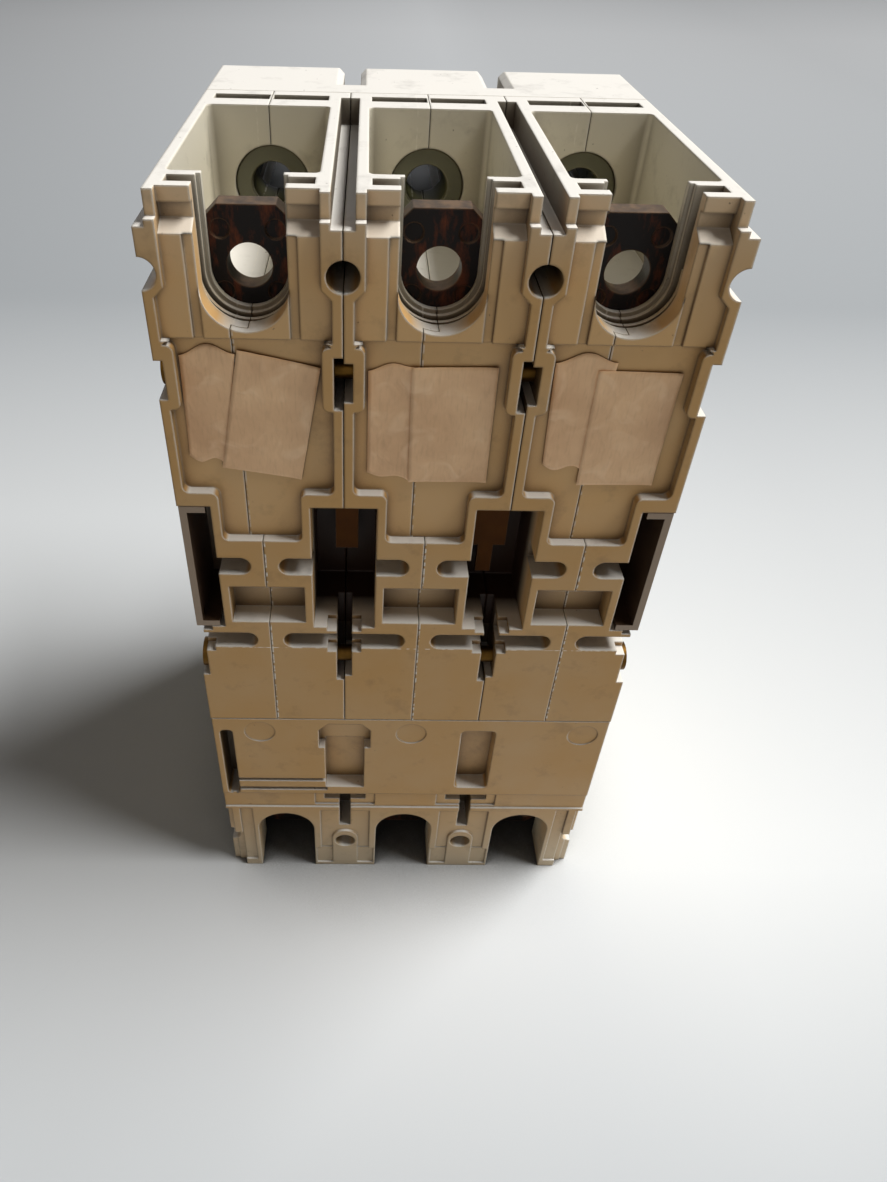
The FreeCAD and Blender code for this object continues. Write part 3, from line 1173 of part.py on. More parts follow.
def screw_seats(places):
    adds = []
    cuts = []
    for x, z in places:
        adds.append(rod_y(x, z, SCREW_BOSS_R, (COVER_REAR, COVER_INNER + 0.5)))
        cuts.append(rod_y(x, z, SCREW_R + RUN_FIT, (0, REACH)))
        cuts.append(rod_y(x, z, SCREW_HEAD_R + 0.2, (COVER_FRONT - SCREW_SINK, REACH)))
    return adds, cuts


def with_cuts(body, adds, cuts):
    body = body.multiFuse(adds)
    for tool in cuts:
        body = body.cut(tool)
    return body


def front_cover():
    body = cover_shell(END_COVER_HEIGHT + JOINT_GAP, TOP - END_COVER_HEIGHT - JOINT_GAP)
    adds, cuts = screw_seats([place for place in cover_screw_places() if abs(place[0]) > POLE_PITCH])
    for x, z in acc_screw_places():
        adds.append(rod_y(x, z, SCREW_BOSS_R, (COVER_FRONT - 11, COVER_INNER + 0.5)))
        cuts.append(rod_y(x, z, SCREW_R + RUN_FIT, (COVER_FRONT - 9, REACH)))
    cuts.append(rounded_box((-acc_half(), acc_half()), (COVER_INNER - 1, REACH), acc_window(), 2.0))
    trip_half = TU_FRONT_HALF + SEAT_GAP
    trip_z = (TU_FRONT_FOOT - SEAT_GAP, TU_FRONT_TOP + SEAT_GAP)
    cuts.append(rounded_box((-trip_half, trip_half), (COVER_INNER - 1, REACH), trip_z, 2.0))
    return with_cuts(body, adds, cuts)


def cover_notch(x):
    slot = BARRIER_SLOT_WIDTH / 2
    lip = COVER_NOTCH_LIP
    mouth = slot + lip + 1
    points = [(x - slot, SLOT_FLOOR), (x + slot, SLOT_FLOOR), (x + slot, TOP - lip), (x + mouth, TOP + 1),
              (x - mouth, TOP + 1), (x - slot, TOP - lip)]
    return plate_y(points, (CASSETTE_DEPTH + COVER_NOTCH_OFFSET, COVER_FRONT + 1))


def terminal_cover():
    body = cover_shell(TOP - END_COVER_HEIGHT, TOP)
    adds, cuts = screw_seats(end_screw_places(1))
    depth = (COVER_REAR, COVER_INNER + 0.5)
    low = ACCESS_Z[1] - ACCESS_HOLE_R
    high = HOLE_Z[1] + MOUNT_HEAD_R
    for z in ((low - TUBE_WALL, low), (high, high + TUBE_WALL)):
        adds.append(box((-COVER_HALF, COVER_HALF), depth, z))
    duct = ACCESS_HOLE_R + TUBE_WALL
    for x in POLE_X:
        for side in (x - duct, x + ACCESS_HOLE_R):
            adds.append(box((side, side + TUBE_WALL), depth, (low - TUBE_WALL, high + TUBE_WALL)))
        cuts.append(rod_y(x, ACCESS_Z[1], ACCESS_HOLE_R, (COVER_INNER - 1, REACH)))
    seat = CASSETTE_DEPTH + MOUNT_SEAT_OFFSET
    cell = HALF_PITCH - duct + 0.1
    for x in JOINT_X:
        adds.append(box((x - cell, x + cell), (COVER_REAR, seat), (low - 0.1, high + 0.1)))
        block = BARRIER_SLOT_WIDTH / 2 + COVER_NOTCH_BLOCK
        notch = CASSETTE_DEPTH + COVER_NOTCH_OFFSET
        adds.append(box((x - block, x + block), (notch - COVER_NOTCH_BLOCK, COVER_FRONT - 0.9),
                        (SLOT_FLOOR - COVER_NOTCH_BLOCK, TOP)))
        cuts.append(cover_notch(x))
    corner = OUTER_JOINT - MOUNT_HEAD_R - TUBE_WALL
    adds += both_sides(box((corner, COVER_HALF), depth, (low - 0.1, high + 0.1)))
    adds += both_sides(box((OUTER_SLOT - COVER_NOTCH_BLOCK, COVER_HALF), depth,
                           (SLOT_FLOOR - COVER_NOTCH_BLOCK, TOP)))
    cuts += both_sides(box((OUTER_SLOT, OUTER_JOINT), (0, REACH), (SLOT_FLOOR, TOP + 1)))
    for x in JOINT_X + (-OUTER_JOINT, OUTER_JOINT):
        cuts.append(rod_y(x, HOLE_Z[1], MOUNT_HOLE_R, (0, REACH)))
        cuts.append(rod_y(x, HOLE_Z[1], MOUNT_HEAD_R, (seat, REACH)))
    return with_cuts(body, adds, cuts)


def terminal_cover_nodes():
    line = terminal_cover()
    return {"line_end_cover": line, "load_end_cover": line.mirror(Vector(0, 0, TOP / 2), Vector(0, 0, 1))}


def cover_screw(x, z):
    head = COVER_FRONT - SCREW_SINK
    screw = fuse([rod_y(x, z, SCREW_R, (CASSETTE_DEPTH - SCREW_BITE, head + 0.5)),
                  rod_y(x, z, SCREW_HEAD_R, (head, head + 2.2))])
    return screw.cut(box((x - 0.4, x + 0.4), (head + 1.2, head + 3), (z - 2.4, z + 2.4)))


# Accessory cover, screwed over the middle window, with the raised frame of the handle

def accessory_cover():
    front = COVER_FRONT
    half = ACC_PLATE_HALF
    face = front + ACC_PLATE_THICK
    plate = rounded_box((-half, half), (front, face), (ACC_PLATE_FOOT, ACC_PLATE_TOP), 2.5)
    rim = [e for e in plate.Edges if min(v.Y for v in e.Vertexes) > face - 0.01]
    plate = plate.makeFillet(0.8, rim)
    window = acc_window()
    gap = SEAT_GAP
    lip_half = acc_half() - gap
    lip_z = (window[0] + gap, window[1] - gap)
    lip = rounded_box((-lip_half, lip_half), (front - 2, front + 0.5), lip_z, 1.8)
    room_half = lip_half - 1.6
    lip = lip.cut(box((-room_half, room_half), (0, front), (window[0] + 2, window[1] - 2)))
    top = face + HANDLE_FRAME_RISE
    frame = rounded_box((-HANDLE_FRAME_HALF, HANDLE_FRAME_HALF), (face - 1, top),
                        (ROTOR_Z - 24, ROTOR_Z + 22), 3.0)
    rim = [e for e in frame.Edges if min(v.Y for v in e.Vertexes) > top - 0.01]
    frame = frame.makeFillet(1.0, rim)
    plate = fuse([plate, lip, frame])
    throat = rod_x(HANDLE_Y, ROTOR_Z, SKIRT_R + 0.5, (-SKIRT_HALF_WIDTH - 1, SKIRT_HALF_WIDTH + 1))
    reach = HANDLE_FRAME_RISE + top - HANDLE_Y
    up = math.radians(CLOSED_ANGLE)
    down = math.radians(-RESET_ANGLE)
    swing_up = math.tan(up) * reach + TOGGLE_HALF_THICK / math.cos(up)
    swing_down = math.tan(down) * reach + TOGGLE_HALF_THICK / math.cos(down)
    side = TOGGLE_HALF_WIDTH + 1.0
    window = box((-side, side), (front - 3, top + 1), (ROTOR_Z - swing_down, ROTOR_Z + swing_up))
    cuts = [throat, window]
    for x in (-25.5, 25.5):
        panel = rounded_box((x - 7.5, x + 7.5), (face - 0.5, face + 1), (ROTOR_Z - 15, ROTOR_Z + 13), 1.0)
        cuts.append(panel)
    for x, z in acc_screw_places():
        cuts.append(rod_y(x, z, SCREW_R + RUN_FIT, (0, REACH)))
        cuts.append(rod_y(x, z, SCREW_HEAD_R + 0.2, (front + 1.0, REACH)))
    for tool in cuts:
        plate = plate.cut(tool)
    return plate


def acc_screw(x, z):
    head = COVER_FRONT + 1.0
    screw = fuse([rod_y(x, z, SCREW_R, (head - 8, head + 0.5)),
                  rod_y(x, z, SCREW_HEAD_R, (head, head + 1.7))])
    return screw.cut(box((x - 0.4, x + 0.4), (head + 0.9, head + 3), (z - 2.4, z + 2.4)))


def cover_nodes():
    return {"front_cover": front_cover(), "accessory_cover": accessory_cover(),
            "cover_screws": Part.makeCompound([cover_screw(x, z) for x, z in cover_screw_places()]),
            "accessory_cover_screws": Part.makeCompound([acc_screw(x, z) for x, z in acc_screw_places()])}


# Every piece, then the move to the middle of the depth, then one file for each node

nodes = {}
for group in (cassette_nodes, tie_rod_nodes, side_shield_nodes, rear_barrier_nodes, conductor_nodes,
              rotor_nodes, arc_chute_nodes, mechanism_nodes, trip_unit_nodes, release_nodes,
              terminal_cover_nodes, cover_nodes):
    nodes.update(group())

depth = max(shape.BoundBox.YMax for shape in nodes.values())
os.makedirs("parts", exist_ok=True)
for name, shape in nodes.items():
    shape.translate(Vector(0, -depth / 2, 0))
    shape.exportStep("parts/%s.step" % name)
print("nodes", len(nodes), "depth", round(depth, 3))
for name, shape in sorted(nodes.items()):
    if not shape.isValid():
        print("not valid:", name)
    print(name, len(shape.Solids), round(shape.Volume, 1))
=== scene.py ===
import math

import bpy
from mathutils import Matrix, Vector, noise


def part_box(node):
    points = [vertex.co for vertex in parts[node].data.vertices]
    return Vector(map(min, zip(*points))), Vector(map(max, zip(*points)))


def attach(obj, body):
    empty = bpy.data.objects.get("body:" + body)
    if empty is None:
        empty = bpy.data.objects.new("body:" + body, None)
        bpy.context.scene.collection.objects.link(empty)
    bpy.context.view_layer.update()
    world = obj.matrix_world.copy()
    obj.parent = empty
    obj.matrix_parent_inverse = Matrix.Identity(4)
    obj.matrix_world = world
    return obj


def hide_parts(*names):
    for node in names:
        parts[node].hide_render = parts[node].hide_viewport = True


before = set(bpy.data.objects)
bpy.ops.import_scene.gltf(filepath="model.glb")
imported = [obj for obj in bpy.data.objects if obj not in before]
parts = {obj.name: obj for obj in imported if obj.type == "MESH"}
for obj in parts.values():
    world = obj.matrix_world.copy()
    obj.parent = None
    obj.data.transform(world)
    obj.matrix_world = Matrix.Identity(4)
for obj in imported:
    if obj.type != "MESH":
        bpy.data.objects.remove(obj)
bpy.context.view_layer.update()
scene = bpy.context.scene
scene.view_settings.view_transform = "Standard"


# Camera
# The photograph looks down on the line end from behind the case, rolled a little to one side.
# Its place and lens were fitted to fifty edges of the case, so it stands here as real sizes.
MM = 0.001
PHOTO_WIDE, PHOTO_HIGH = 887, 1182
LENS_CENTRE = (377.183, 533.974)
LENS_REACH = 842.999
SENSOR = 36.0
CAMERA_ACROSS = -13.720
CAMERA_BEHIND = 139.849
CAMERA_HEIGHT = 249.018
CAMERA_YAW = -0.0238563
CAMERA_DIP = 0.6854122
CAMERA_ROLL = 0.0286244
case_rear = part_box("trip_unit_case")[0].y

camera_data = bpy.data.cameras.new("camera")
camera_data.sensor_width = SENSOR
camera_data.lens = LENS_REACH / PHOTO_HIGH * SENSOR
camera_data.shift_x = (PHOTO_WIDE / 2 - LENS_CENTRE[0]) / PHOTO_HIGH
camera_data.shift_y = (LENS_CENTRE[1] - PHOTO_HIGH / 2) / PHOTO_HIGH
camera_data.clip_start = 0.01
camera_data.clip_end = 50.0
camera = bpy.data.objects.new("camera", camera_data)
scene.collection.objects.link(camera)
aim = Matrix.Rotation(CAMERA_YAW, 4, "Z") @ Matrix.Rotation(math.pi / 2 - CAMERA_DIP, 4, "X")
place = Vector((CAMERA_ACROSS * MM, case_rear - CAMERA_BEHIND * MM, CAMERA_HEIGHT * MM))
camera.matrix_world = Matrix.Translation(place) @ aim @ Matrix.Rotation(CAMERA_ROLL, 4, "Z")
scene.camera = camera


# Floor
# A wide studio table of matt light grey card with painted light, palest before the case, darker round it.
# The same pale tone stands behind it in the world, so metal and gloss have a room to mirror.
FLOOR_HALF = 9.0
FLOOR_PAINTED_LIGHT = ((-0.15, "#cad0d7"), (-0.06, "#e8edf3"), (0.12, "#d4d9df"), (0.36, "#aab0b7"),
               (1.5, "#c4c8ce"), (3.0, "#c4c8ce"))
FLOOR_SIDE_LIGHT_FALL = ((-0.9, 0.72), (-0.1, 0.95), (0.1, 1.0), (0.2, 0.91), (0.7, 0.74))
FLOOR_SHELTER = 0.045
FLOOR_CONTACT_SHADE = ((0.30, 0.06), (0.60, 0.80), (0.85, 1.0))
CARD_ROUGHNESS = 0.9
WORLD_FILL = "#f6f0e8"
WORLD_SEEN = "#cfd1d6"
FILL_STRENGTH = 0.06


def linear(code):
    """Linear red, green, blue and alpha of an sRGB hex colour"""
    channels = [int(code[i:i + 2], 16) / 255 for i in (1, 3, 5)]
    return [c / 12.92 if c <= 0.04045 else ((c + 0.055) / 1.055) ** 2.4 for c in channels] + [1.0]


def add_node(material, kind, sockets=None, **settings):
    """Adds a shader node, sets its properties, and fills or links its sockets"""
    node = material.node_tree.nodes.new("ShaderNode" + kind)
    for name, value in settings.items():
        setattr(node, name, value)
    for name, value in (sockets or {}).items():
        if isinstance(value, bpy.types.NodeSocket):
            material.node_tree.links.new(value, node.inputs[name])
        else:
            node.inputs[name].default_value = value
    return node


def new_material(name):
    """An empty material and its object coordinates"""
    material = bpy.data.materials.new(name)
    material.use_nodes = True
    material.node_tree.nodes.clear()
    return material, add_node(material, "TexCoord")


def finish_shader(material, **sockets):
    """Ends a material in one principled shader, with underscores in place of the sockets' spaces"""
    named = {name.replace("_", " "): value for name, value in sockets.items()}
    shader = add_node(material, "BsdfPrincipled", named)
    add_node(material, "OutputMaterial", {"Surface": shader.outputs["BSDF"]})
    return material


def fade(material, value, *stops):
    """A colour that follows a value through stops of value and hex colour"""
    low, high = stops[0][0], stops[-1][0]
    share = add_node(material, "MapRange", {"Value": value, "From Min": low, "From Max": high})
    band = add_node(material, "ValToRGB", {"Fac": share.outputs[0]})
    marks = band.color_ramp.elements
    while len(marks) < len(stops):
        marks.new(0.5)
    for mark, (place, tone) in zip(marks, stops):
        mark.position = (place - low) / (high - low)
        mark.color = linear(tone) if isinstance(tone, str) else (tone, tone, tone, 1.0)
    return band.outputs["Color"]


def lay(material, share, under, over, blend="MIX"):
    """Lays one colour over another, where each is a socket or a hex colour"""
    under, over = (linear(tone) if isinstance(tone, str) else tone for tone in (under, over))
    layer = add_node(material, "MixRGB", {"Fac": share, "Color1": under, "Color2": over}, blend_type=blend)
    return layer.outputs[0]


def floor_card():
    """Matt card whose tone carries painted light by place, and painted shade where the case shelters it"""
    material, where = new_material("grey_table_card")
    axes = add_node(material, "SeparateXYZ", {0: where.outputs["Object"]})
    tone = fade(material, axes.outputs["Y"], *FLOOR_PAINTED_LIGHT)
    tone = lay(material, 1.0, tone, fade(material, axes.outputs["X"], *FLOOR_SIDE_LIGHT_FALL), "MULTIPLY")
    # Painted contact shade: the card darkens where occlusion finds the case close by
    shelter = add_node(material, "AmbientOcclusion", {"Distance": FLOOR_SHELTER}, samples=8)
    contact_shade = fade(material, shelter.outputs["AO"], *FLOOR_CONTACT_SHADE)
    tone = lay(material, 1.0, tone, contact_shade, "MULTIPLY")
    return finish_shader(material, Base_Color=tone, Roughness=CARD_ROUGHNESS)


floor_mesh = bpy.data.meshes.new("floor")
corners = [(-FLOOR_HALF, -FLOOR_HALF, 0), (FLOOR_HALF, -FLOOR_HALF, 0), (FLOOR_HALF, FLOOR_HALF, 0),
           (-FLOOR_HALF, FLOOR_HALF, 0)]
floor_mesh.from_pydata(corners, [], [(0, 1, 2, 3)])
floor = bpy.data.objects.new("floor", floor_mesh)
scene.collection.objects.link(floor)
floor_mesh.materials.append(floor_card())

world = bpy.data.worlds.new("studio")
scene.world = world
world.use_nodes = True
for node in list(world.node_tree.nodes):
    world.node_tree.nodes.remove(node)
rays = add_node(world, "LightPath")
seen = add_node(world, "Math", {0: rays.outputs["Is Camera Ray"], 1: rays.outputs["Is Glossy Ray"]},
                operation="MAXIMUM")
seen = add_node(world, "Math", {0: seen.outputs[0], 1: rays.outputs["Is Transmission Ray"]},
                operation="MAXIMUM")
fill = add_node(world, "Background", {"Color": linear(WORLD_FILL), "Strength": FILL_STRENGTH})
room = add_node(world, "Background", {"Color": linear(WORLD_SEEN), "Strength": 1.0})
both = add_node(world, "MixShader", {0: seen.outputs[0], 1: fill.outputs[0], 2: room.outputs[0]})
add_node(world, "OutputWorld", {"Surface": both.outputs[0]})


# Lamps
# One broad soft lamp high on the right throws the shadow to the left, as in the photograph.
# A weak warm one from behind the camera keeps detail in the shaded rear face.
KEY_PLACE = (1.84, 0.20, 3.06)
KEY_SIZE = (2.50, 1.20)
KEY_WATTS = 163.0
KEY_TONE = "#fffcf6"
FILL_PLACE = (-0.60, -1.60, 1.10)
FILL_SIZE = (1.00, 1.00)
FILL_WATTS = 1.2
FILL_TONE = "#ffe6c8"
LAMP_TARGET = (0.0, 0.0, 0.10)


def area_lamp(name, place, size, watts, tone):
    """A soft round lamp of a width and a height in metres, turned to face the case"""
    data = bpy.data.lights.new(name, "AREA")
    data.shape = "ELLIPSE"
    data.size, data.size_y = size
    data.energy = watts
    data.color = linear(tone)[:3]
    lamp = bpy.data.objects.new(name, data)
    lamp.location = place
    lamp.rotation_euler = (Vector(LAMP_TARGET) - Vector(place)).to_track_quat("-Z", "Y").to_euler()
    scene.collection.objects.link(lamp)


area_lamp("key_lamp", KEY_PLACE, KEY_SIZE, KEY_WATTS, KEY_TONE)
area_lamp("fill_lamp", FILL_PLACE, FILL_SIZE, FILL_WATTS, FILL_TONE)


# Cassettes
# Six halves moulded in polyester filled with glass, clamped in pairs, one pair to each pole.
# The compound leaves the press matt and chalky white, and faces that look up are painted as lit.
# Its rear and outer skin is tan, partly from yellowing and partly painted warm shade. The corners
# hold painted shade and grime, the vent cavities painted shade and soot, and edges facing the lamp
# carry a painted highlight.
CASE_LIT_TOP = "#eeece8"
CASE_PALE = "#d0c9b4"
CASE_MOUTH_LIT = "#e4dfcf"
CASE_TAN = "#be9151"
CASE_DEEP_TAN = "#d0a468"
CASE_SIDE = "#c4aa7c"
CASE_GRIME_AND_SHADE = "#341f08"
CASE_SOOT_AND_SHADE = "#2e1b0d"
CASE_BORE = "#4e4c2a"
# Pale tone of the painted highlights on edges and seam flash
CASE_EDGE_HIGHLIGHT = "#fbf6ea"
# The compound's own grain is about a third of this, and is drawn this coarse to show
GRAIN_MM = 0.35
CLOUD_MM = 22.0
SMUDGE_MM = 9.0
SPECK_MM = 1.1
SHELTER_MM = 9.0
EDGE_MM = 0.7
LIGHT_SIDE = (0.45, -0.15, 0.88)
TOP_LIGHT_BAND = (0.190, 0.204)
SKIN_TOP = (0.1995, 0.2010)
FOOT_FADE = (0.004, 0.034)
PANEL_MM = (0.4, 1.2)
SKIN_DEEP = (11.0, 4.0)
SKIN_WIDE = (50.2, 51.8)
VENT_ZONE = (96.0, 141.5)
POLE_PITCH = 35.0
KEY_HOLE_LINE = 188.4
KEY_HOLE_R = 5.3
SEAM_STEP = 132.2
SEAM_SHIFT = 3.0
BAND_LINE = 98.9
FLASH_MM = (0.12, 0.45)
FLASH_HALF_BAND = 0.12
FLASH_CHIP_MM = 1.4
FLASH_FAINT = (0.130, 0.134)
VENT_DARK_DEPTH = (5.0, 11.0)


def per_metre(size_mm):
    """Noise scale whose features are about as wide as a size in millimetres"""
    return 1000.0 / size_mm


def dress(material, *names):
    """Puts a material on every slot of the solid model's named pieces"""
    for name in names:
        for spot in parts[name].material_slots:
            spot.material = material


def across_pole(material, axes):
    """How far a point lies across from the middle of its own pole"""
    return add_node(material, "Math", {0: axes.outputs["X"], 1: POLE_PITCH / 2 * MM, 2: -POLE_PITCH / 2 * MM},
                    operation="WRAP")


def rounded_edges(material, size_mm, samples=4):
    """The normal rounded over each edge, and how far it agrees with the true one"""
    soft = add_node(material, "Bevel", {"Radius": size_mm * MM}, samples=samples)
    true = add_node(material, "NewGeometry")
    match = add_node(material, "VectorMath", {0: soft.outputs["Normal"], 1: true.outputs["Normal"]},
                     operation="DOT_PRODUCT")
    return soft, match


def seam_flash(material, where, axes, flank):
    """Thin broken lines of moulding flash along the seams of the halves and one band line, drawn pale as a
    painted highlight
    """
    pole = across_pole(material, axes)
    high = add_node(material, "Math", {0: axes.outputs["Z"], 1: SEAM_STEP * MM}, operation="GREATER_THAN")
    shift = add_node(material, "Math", {0: high.outputs[0], 1: SEAM_SHIFT * MM}, operation="MULTIPLY")
    beside = add_node(material, "Math", {0: pole.outputs[0], 1: shift.outputs[0]}, operation="ADD")
    inner = add_node(material, "Math", {0: beside.outputs[0], 1: FLASH_MM[0] * MM}, operation="GREATER_THAN")
    outer = add_node(material, "Math", {0: beside.outputs[0], 1: FLASH_MM[1] * MM}, operation="LESS_THAN")
    line = add_node(material, "Math", {0: inner.outputs[0], 1: outer.outputs[0]}, operation="MULTIPLY")
    band = add_node(material, "Math", {0: axes.outputs["Z"], 1: BAND_LINE * MM, 2: FLASH_HALF_BAND * MM},
                    operation="COMPARE")
    band = add_node(material, "Math", {0: band.outputs[0], 1: flank.outputs[0]}, operation="SUBTRACT",
                    use_clamp=True)
    lines = add_node(material, "Math", {0: line.outputs[0], 1: band.outputs[0]}, operation="MAXIMUM")
    chips = add_node(material, "TexNoise", {"Vector": where.outputs["Object"],
                                            "Scale": per_metre(FLASH_CHIP_MM), "Detail": 3.0})
    broken = add_node(material, "MapRange", {"Value": chips.outputs["Fac"], "From Min": 0.44,
                                             "From Max": 0.56, "To Max": 0.8})
    faint = add_node(material, "MapRange", {"Value": axes.outputs["Z"], "From Min": FLASH_FAINT[0],
                                            "From Max": FLASH_FAINT[1], "To Min": 1.0, "To Max": 0.45})
    lines = add_node(material, "Math", {0: lines.outputs[0], 1: faint.outputs[0]}, operation="MULTIPLY")
    return add_node(material, "Math", {0: lines.outputs[0], 1: broken.outputs[0]}, operation="MULTIPLY")


def thermoset(name, pale, tan, deep_tan, tan_strength, split, alone=False):
    """Glass filled compound with painted lit tops and a tan skin of yellowing and painted shade, halved or
    whole
    """
    material, where = new_material(name)
    axes = add_node(material, "SeparateXYZ", {0: where.outputs["Object"]})
    facing = add_node(material, "SeparateXYZ", {0: where.outputs["Normal"]})

    # The tan skin, yellowing and painted warm shade, lies on the rear and outer sides, not on faces that look
    # up
    rear = add_node(material, "MapRange", {"Value": axes.outputs["Y"],
                                           "From Min": case_rear + SKIN_DEEP[0] * MM,
                                           "From Max": case_rear + SKIN_DEEP[1] * MM})
    across = add_node(material, "Math", {0: axes.outputs["X"]}, operation="ABSOLUTE")
    side = add_node(material, "MapRange", {"Value": across.outputs[0], "From Min": SKIN_WIDE[0] * MM,
                                           "From Max": SKIN_WIDE[1] * MM})
    skin = add_node(material, "Math", {0: rear.outputs[0], 1: side.outputs[0]}, operation="MAXIMUM")
    slope = add_node(material, "MapRange", {"Value": axes.outputs["Z"], "From Min": SKIN_TOP[0],
                                            "From Max": SKIN_TOP[1], "To Min": 0.27, "To Max": 0.0})
    level = add_node(material, "Math", {0: facing.outputs["Z"], 1: slope.outputs[0]}, operation="SUBTRACT")
    upright = add_node(material, "MapRange", {"Value": level.outputs[0], "From Min": 0.70, "From Max": 0.45})
    cloud = add_node(material, "TexNoise", {"Vector": where.outputs["Object"], "Scale": per_metre(CLOUD_MM),
                                            "Detail": 4.0, "Roughness": 0.55})
    cloudy = add_node(material, "MapRange", {"Value": cloud.outputs["Fac"], "From Min": 0.3, "From Max": 0.7,
                                             "To Min": 0.88 * tan_strength, "To Max": tan_strength})
    tan_and_shade = add_node(material, "Math", {0: skin.outputs[0], 1: upright.outputs[0]}, operation="MULTIPLY")
    tan_and_shade = add_node(material, "Math", {0: tan_and_shade.outputs[0], 1: cloudy.outputs[0]}, operation="MULTIPLY")
    # Painted light: towards the top end the tan fades, where more light falls
    top_light = add_node(material, "MapRange", {"Value": axes.outputs["Z"], "From Min": TOP_LIGHT_BAND[0],
                                            "From Max": TOP_LIGHT_BAND[1], "To Min": 1.0, "To Max": 0.72})
    tan_and_shade = add_node(material, "Math", {0: tan_and_shade.outputs[0], 1: top_light.outputs[0]}, operation="MULTIPLY")
    # The tan fades towards the foot
    foot_fade = add_node(material, "MapRange", {"Value": axes.outputs["Z"], "From Min": FOOT_FADE[0],
                                           "From Max": FOOT_FADE[1], "To Min": 0.40, "To Max": 1.0})
    tan_and_shade = add_node(material, "Math", {0: tan_and_shade.outputs[0], 1: foot_fade.outputs[0]}, operation="MULTIPLY")
    sunk = add_node(material, "MapRange", {"Value": axes.outputs["Y"],
                                           "From Min": case_rear + PANEL_MM[0] * MM,
                                           "From Max": case_rear + PANEL_MM[1] * MM})
    tan = lay(material, sunk.outputs[0], tan, deep_tan)
    flank = add_node(material, "Math", {0: facing.outputs["X"]}, operation="ABSOLUTE")
    flank = add_node(material, "Math", {0: flank.outputs[0], 1: side.outputs[0]}, operation="MULTIPLY")
    tan = lay(material, flank.outputs[0], tan, CASE_SIDE)
    # Painted light: pale faces lighten towards the top end and stay darker deeper down, where shade falls
    mouth_light = add_node(material, "MapRange", {"Value": axes.outputs["Z"], "From Min": TOP_LIGHT_BAND[0],
                                            "From Max": TOP_LIGHT_BAND[1]})
    bare = lay(material, mouth_light.outputs[0], pale, CASE_MOUTH_LIT)
    # Painted light: faces that look up take the lit near white tone, upright faces the pale tone or the tan
    # skin
    tone = lay(material, tan_and_shade.outputs[0], lay(material, upright.outputs[0], CASE_LIT_TOP, bare), tan)

    # Hand smudges and specks, and painted shade with grime in the sheltered corners
    smudge = add_node(material, "TexNoise", {"Vector": where.outputs["Object"], "Scale": per_metre(SMUDGE_MM),
                                             "Detail": 6.0, "Roughness": 0.65})
    smudges = fade(material, smudge.outputs["Fac"], (0.55, 0.0), (0.78, 0.30))
    tone = lay(material, smudges, tone, CASE_GRIME_AND_SHADE)
    speck = add_node(material, "TexNoise", {"Vector": where.outputs["Object"], "Scale": per_metre(SPECK_MM),
                                            "Detail": 2.0})
    tone = lay(material, fade(material, speck.outputs["Fac"], (0.74, 0.0), (0.78, 0.6)), tone, CASE_GRIME_AND_SHADE)
    # Painted shade: darker where occlusion finds nearby surfaces, less on faces that look up and near the
    # floor
    shelter = add_node(material, "AmbientOcclusion", {"Distance": SHELTER_MM * MM}, samples=8,
                       only_local=alone)
    ledge = fade(material, facing.outputs["Z"], (0.2, 1.0), (0.8, 0.15))
    above = fade(material, axes.outputs["Z"], (0.004, 0.35), (0.030, 1.0))
    ledge = lay(material, 1.0, ledge, above, "MULTIPLY")
    shade_and_grime = fade(material, shelter.outputs["AO"], (0.15, 0.92), (0.45, 0.62), (0.80, 0.0))
    tone = lay(material, lay(material, 1.0, shade_and_grime, ledge, "MULTIPLY"), tone, CASE_GRIME_AND_SHADE)
    pole = across_pole(material, axes)
    spot = add_node(material, "CombineXYZ", {"X": pole.outputs[0], "Z": axes.outputs["Z"]})
    away = add_node(material, "VectorMath", {0: spot.outputs[0], 1: (0, 0, KEY_HOLE_LINE * MM)},
                    operation="DISTANCE")
    bore = add_node(material, "Math", {0: away.outputs["Value"], 1: KEY_HOLE_R * MM}, operation="LESS_THAN")
    tone = lay(material, bore.outputs[0], tone, CASE_BORE)

    # Edges that face the lamp get a painted highlight, broken by rubbed wear, and edges that face away get
    # painted shade
    soft, match = rounded_edges(material, EDGE_MM, 6)
    rubbed = fade(material, smudge.outputs["Fac"], (0.32, 0.55), (0.58, 1.0))
    edges = fade(material, match.outputs["Value"], (0.86, 1.0), (0.985, 0.0))
    lamp_facing = add_node(material, "VectorMath", {0: soft.outputs["Normal"], 1: LIGHT_SIDE},
                     operation="DOT_PRODUCT")
    raised = fade(material, shelter.outputs["AO"], (0.55, 0.15), (0.80, 1.0))
    edge_highlight = fade(material, lamp_facing.outputs["Value"], (0.10, 0.0), (0.45, 1.0))
    edge_highlight = lay(material, 1.0, edge_highlight, raised, "MULTIPLY")
    # Painted shade on edges that turn away from the lamp
    under = fade(material, lamp_facing.outputs["Value"], (-0.25, 0.55), (0.10, 0.0))
    tone = lay(material, lay(material, 1.0, edges, under, "MULTIPLY"), tone, CASE_GRIME_AND_SHADE)
    edge_highlight = lay(material, 1.0, edge_highlight, rubbed, "MULTIPLY")
    tone = lay(material, lay(material, 1.0, edges, edge_highlight, "MULTIPLY"), tone, CASE_EDGE_HIGHLIGHT)

    # Flash on the mould seams as a painted highlight, and soot with painted shade deep in the vent cavities
    if split:
        tone = lay(material, seam_flash(material, where, axes, flank).outputs[0], tone, CASE_EDGE_HIGHLIGHT)
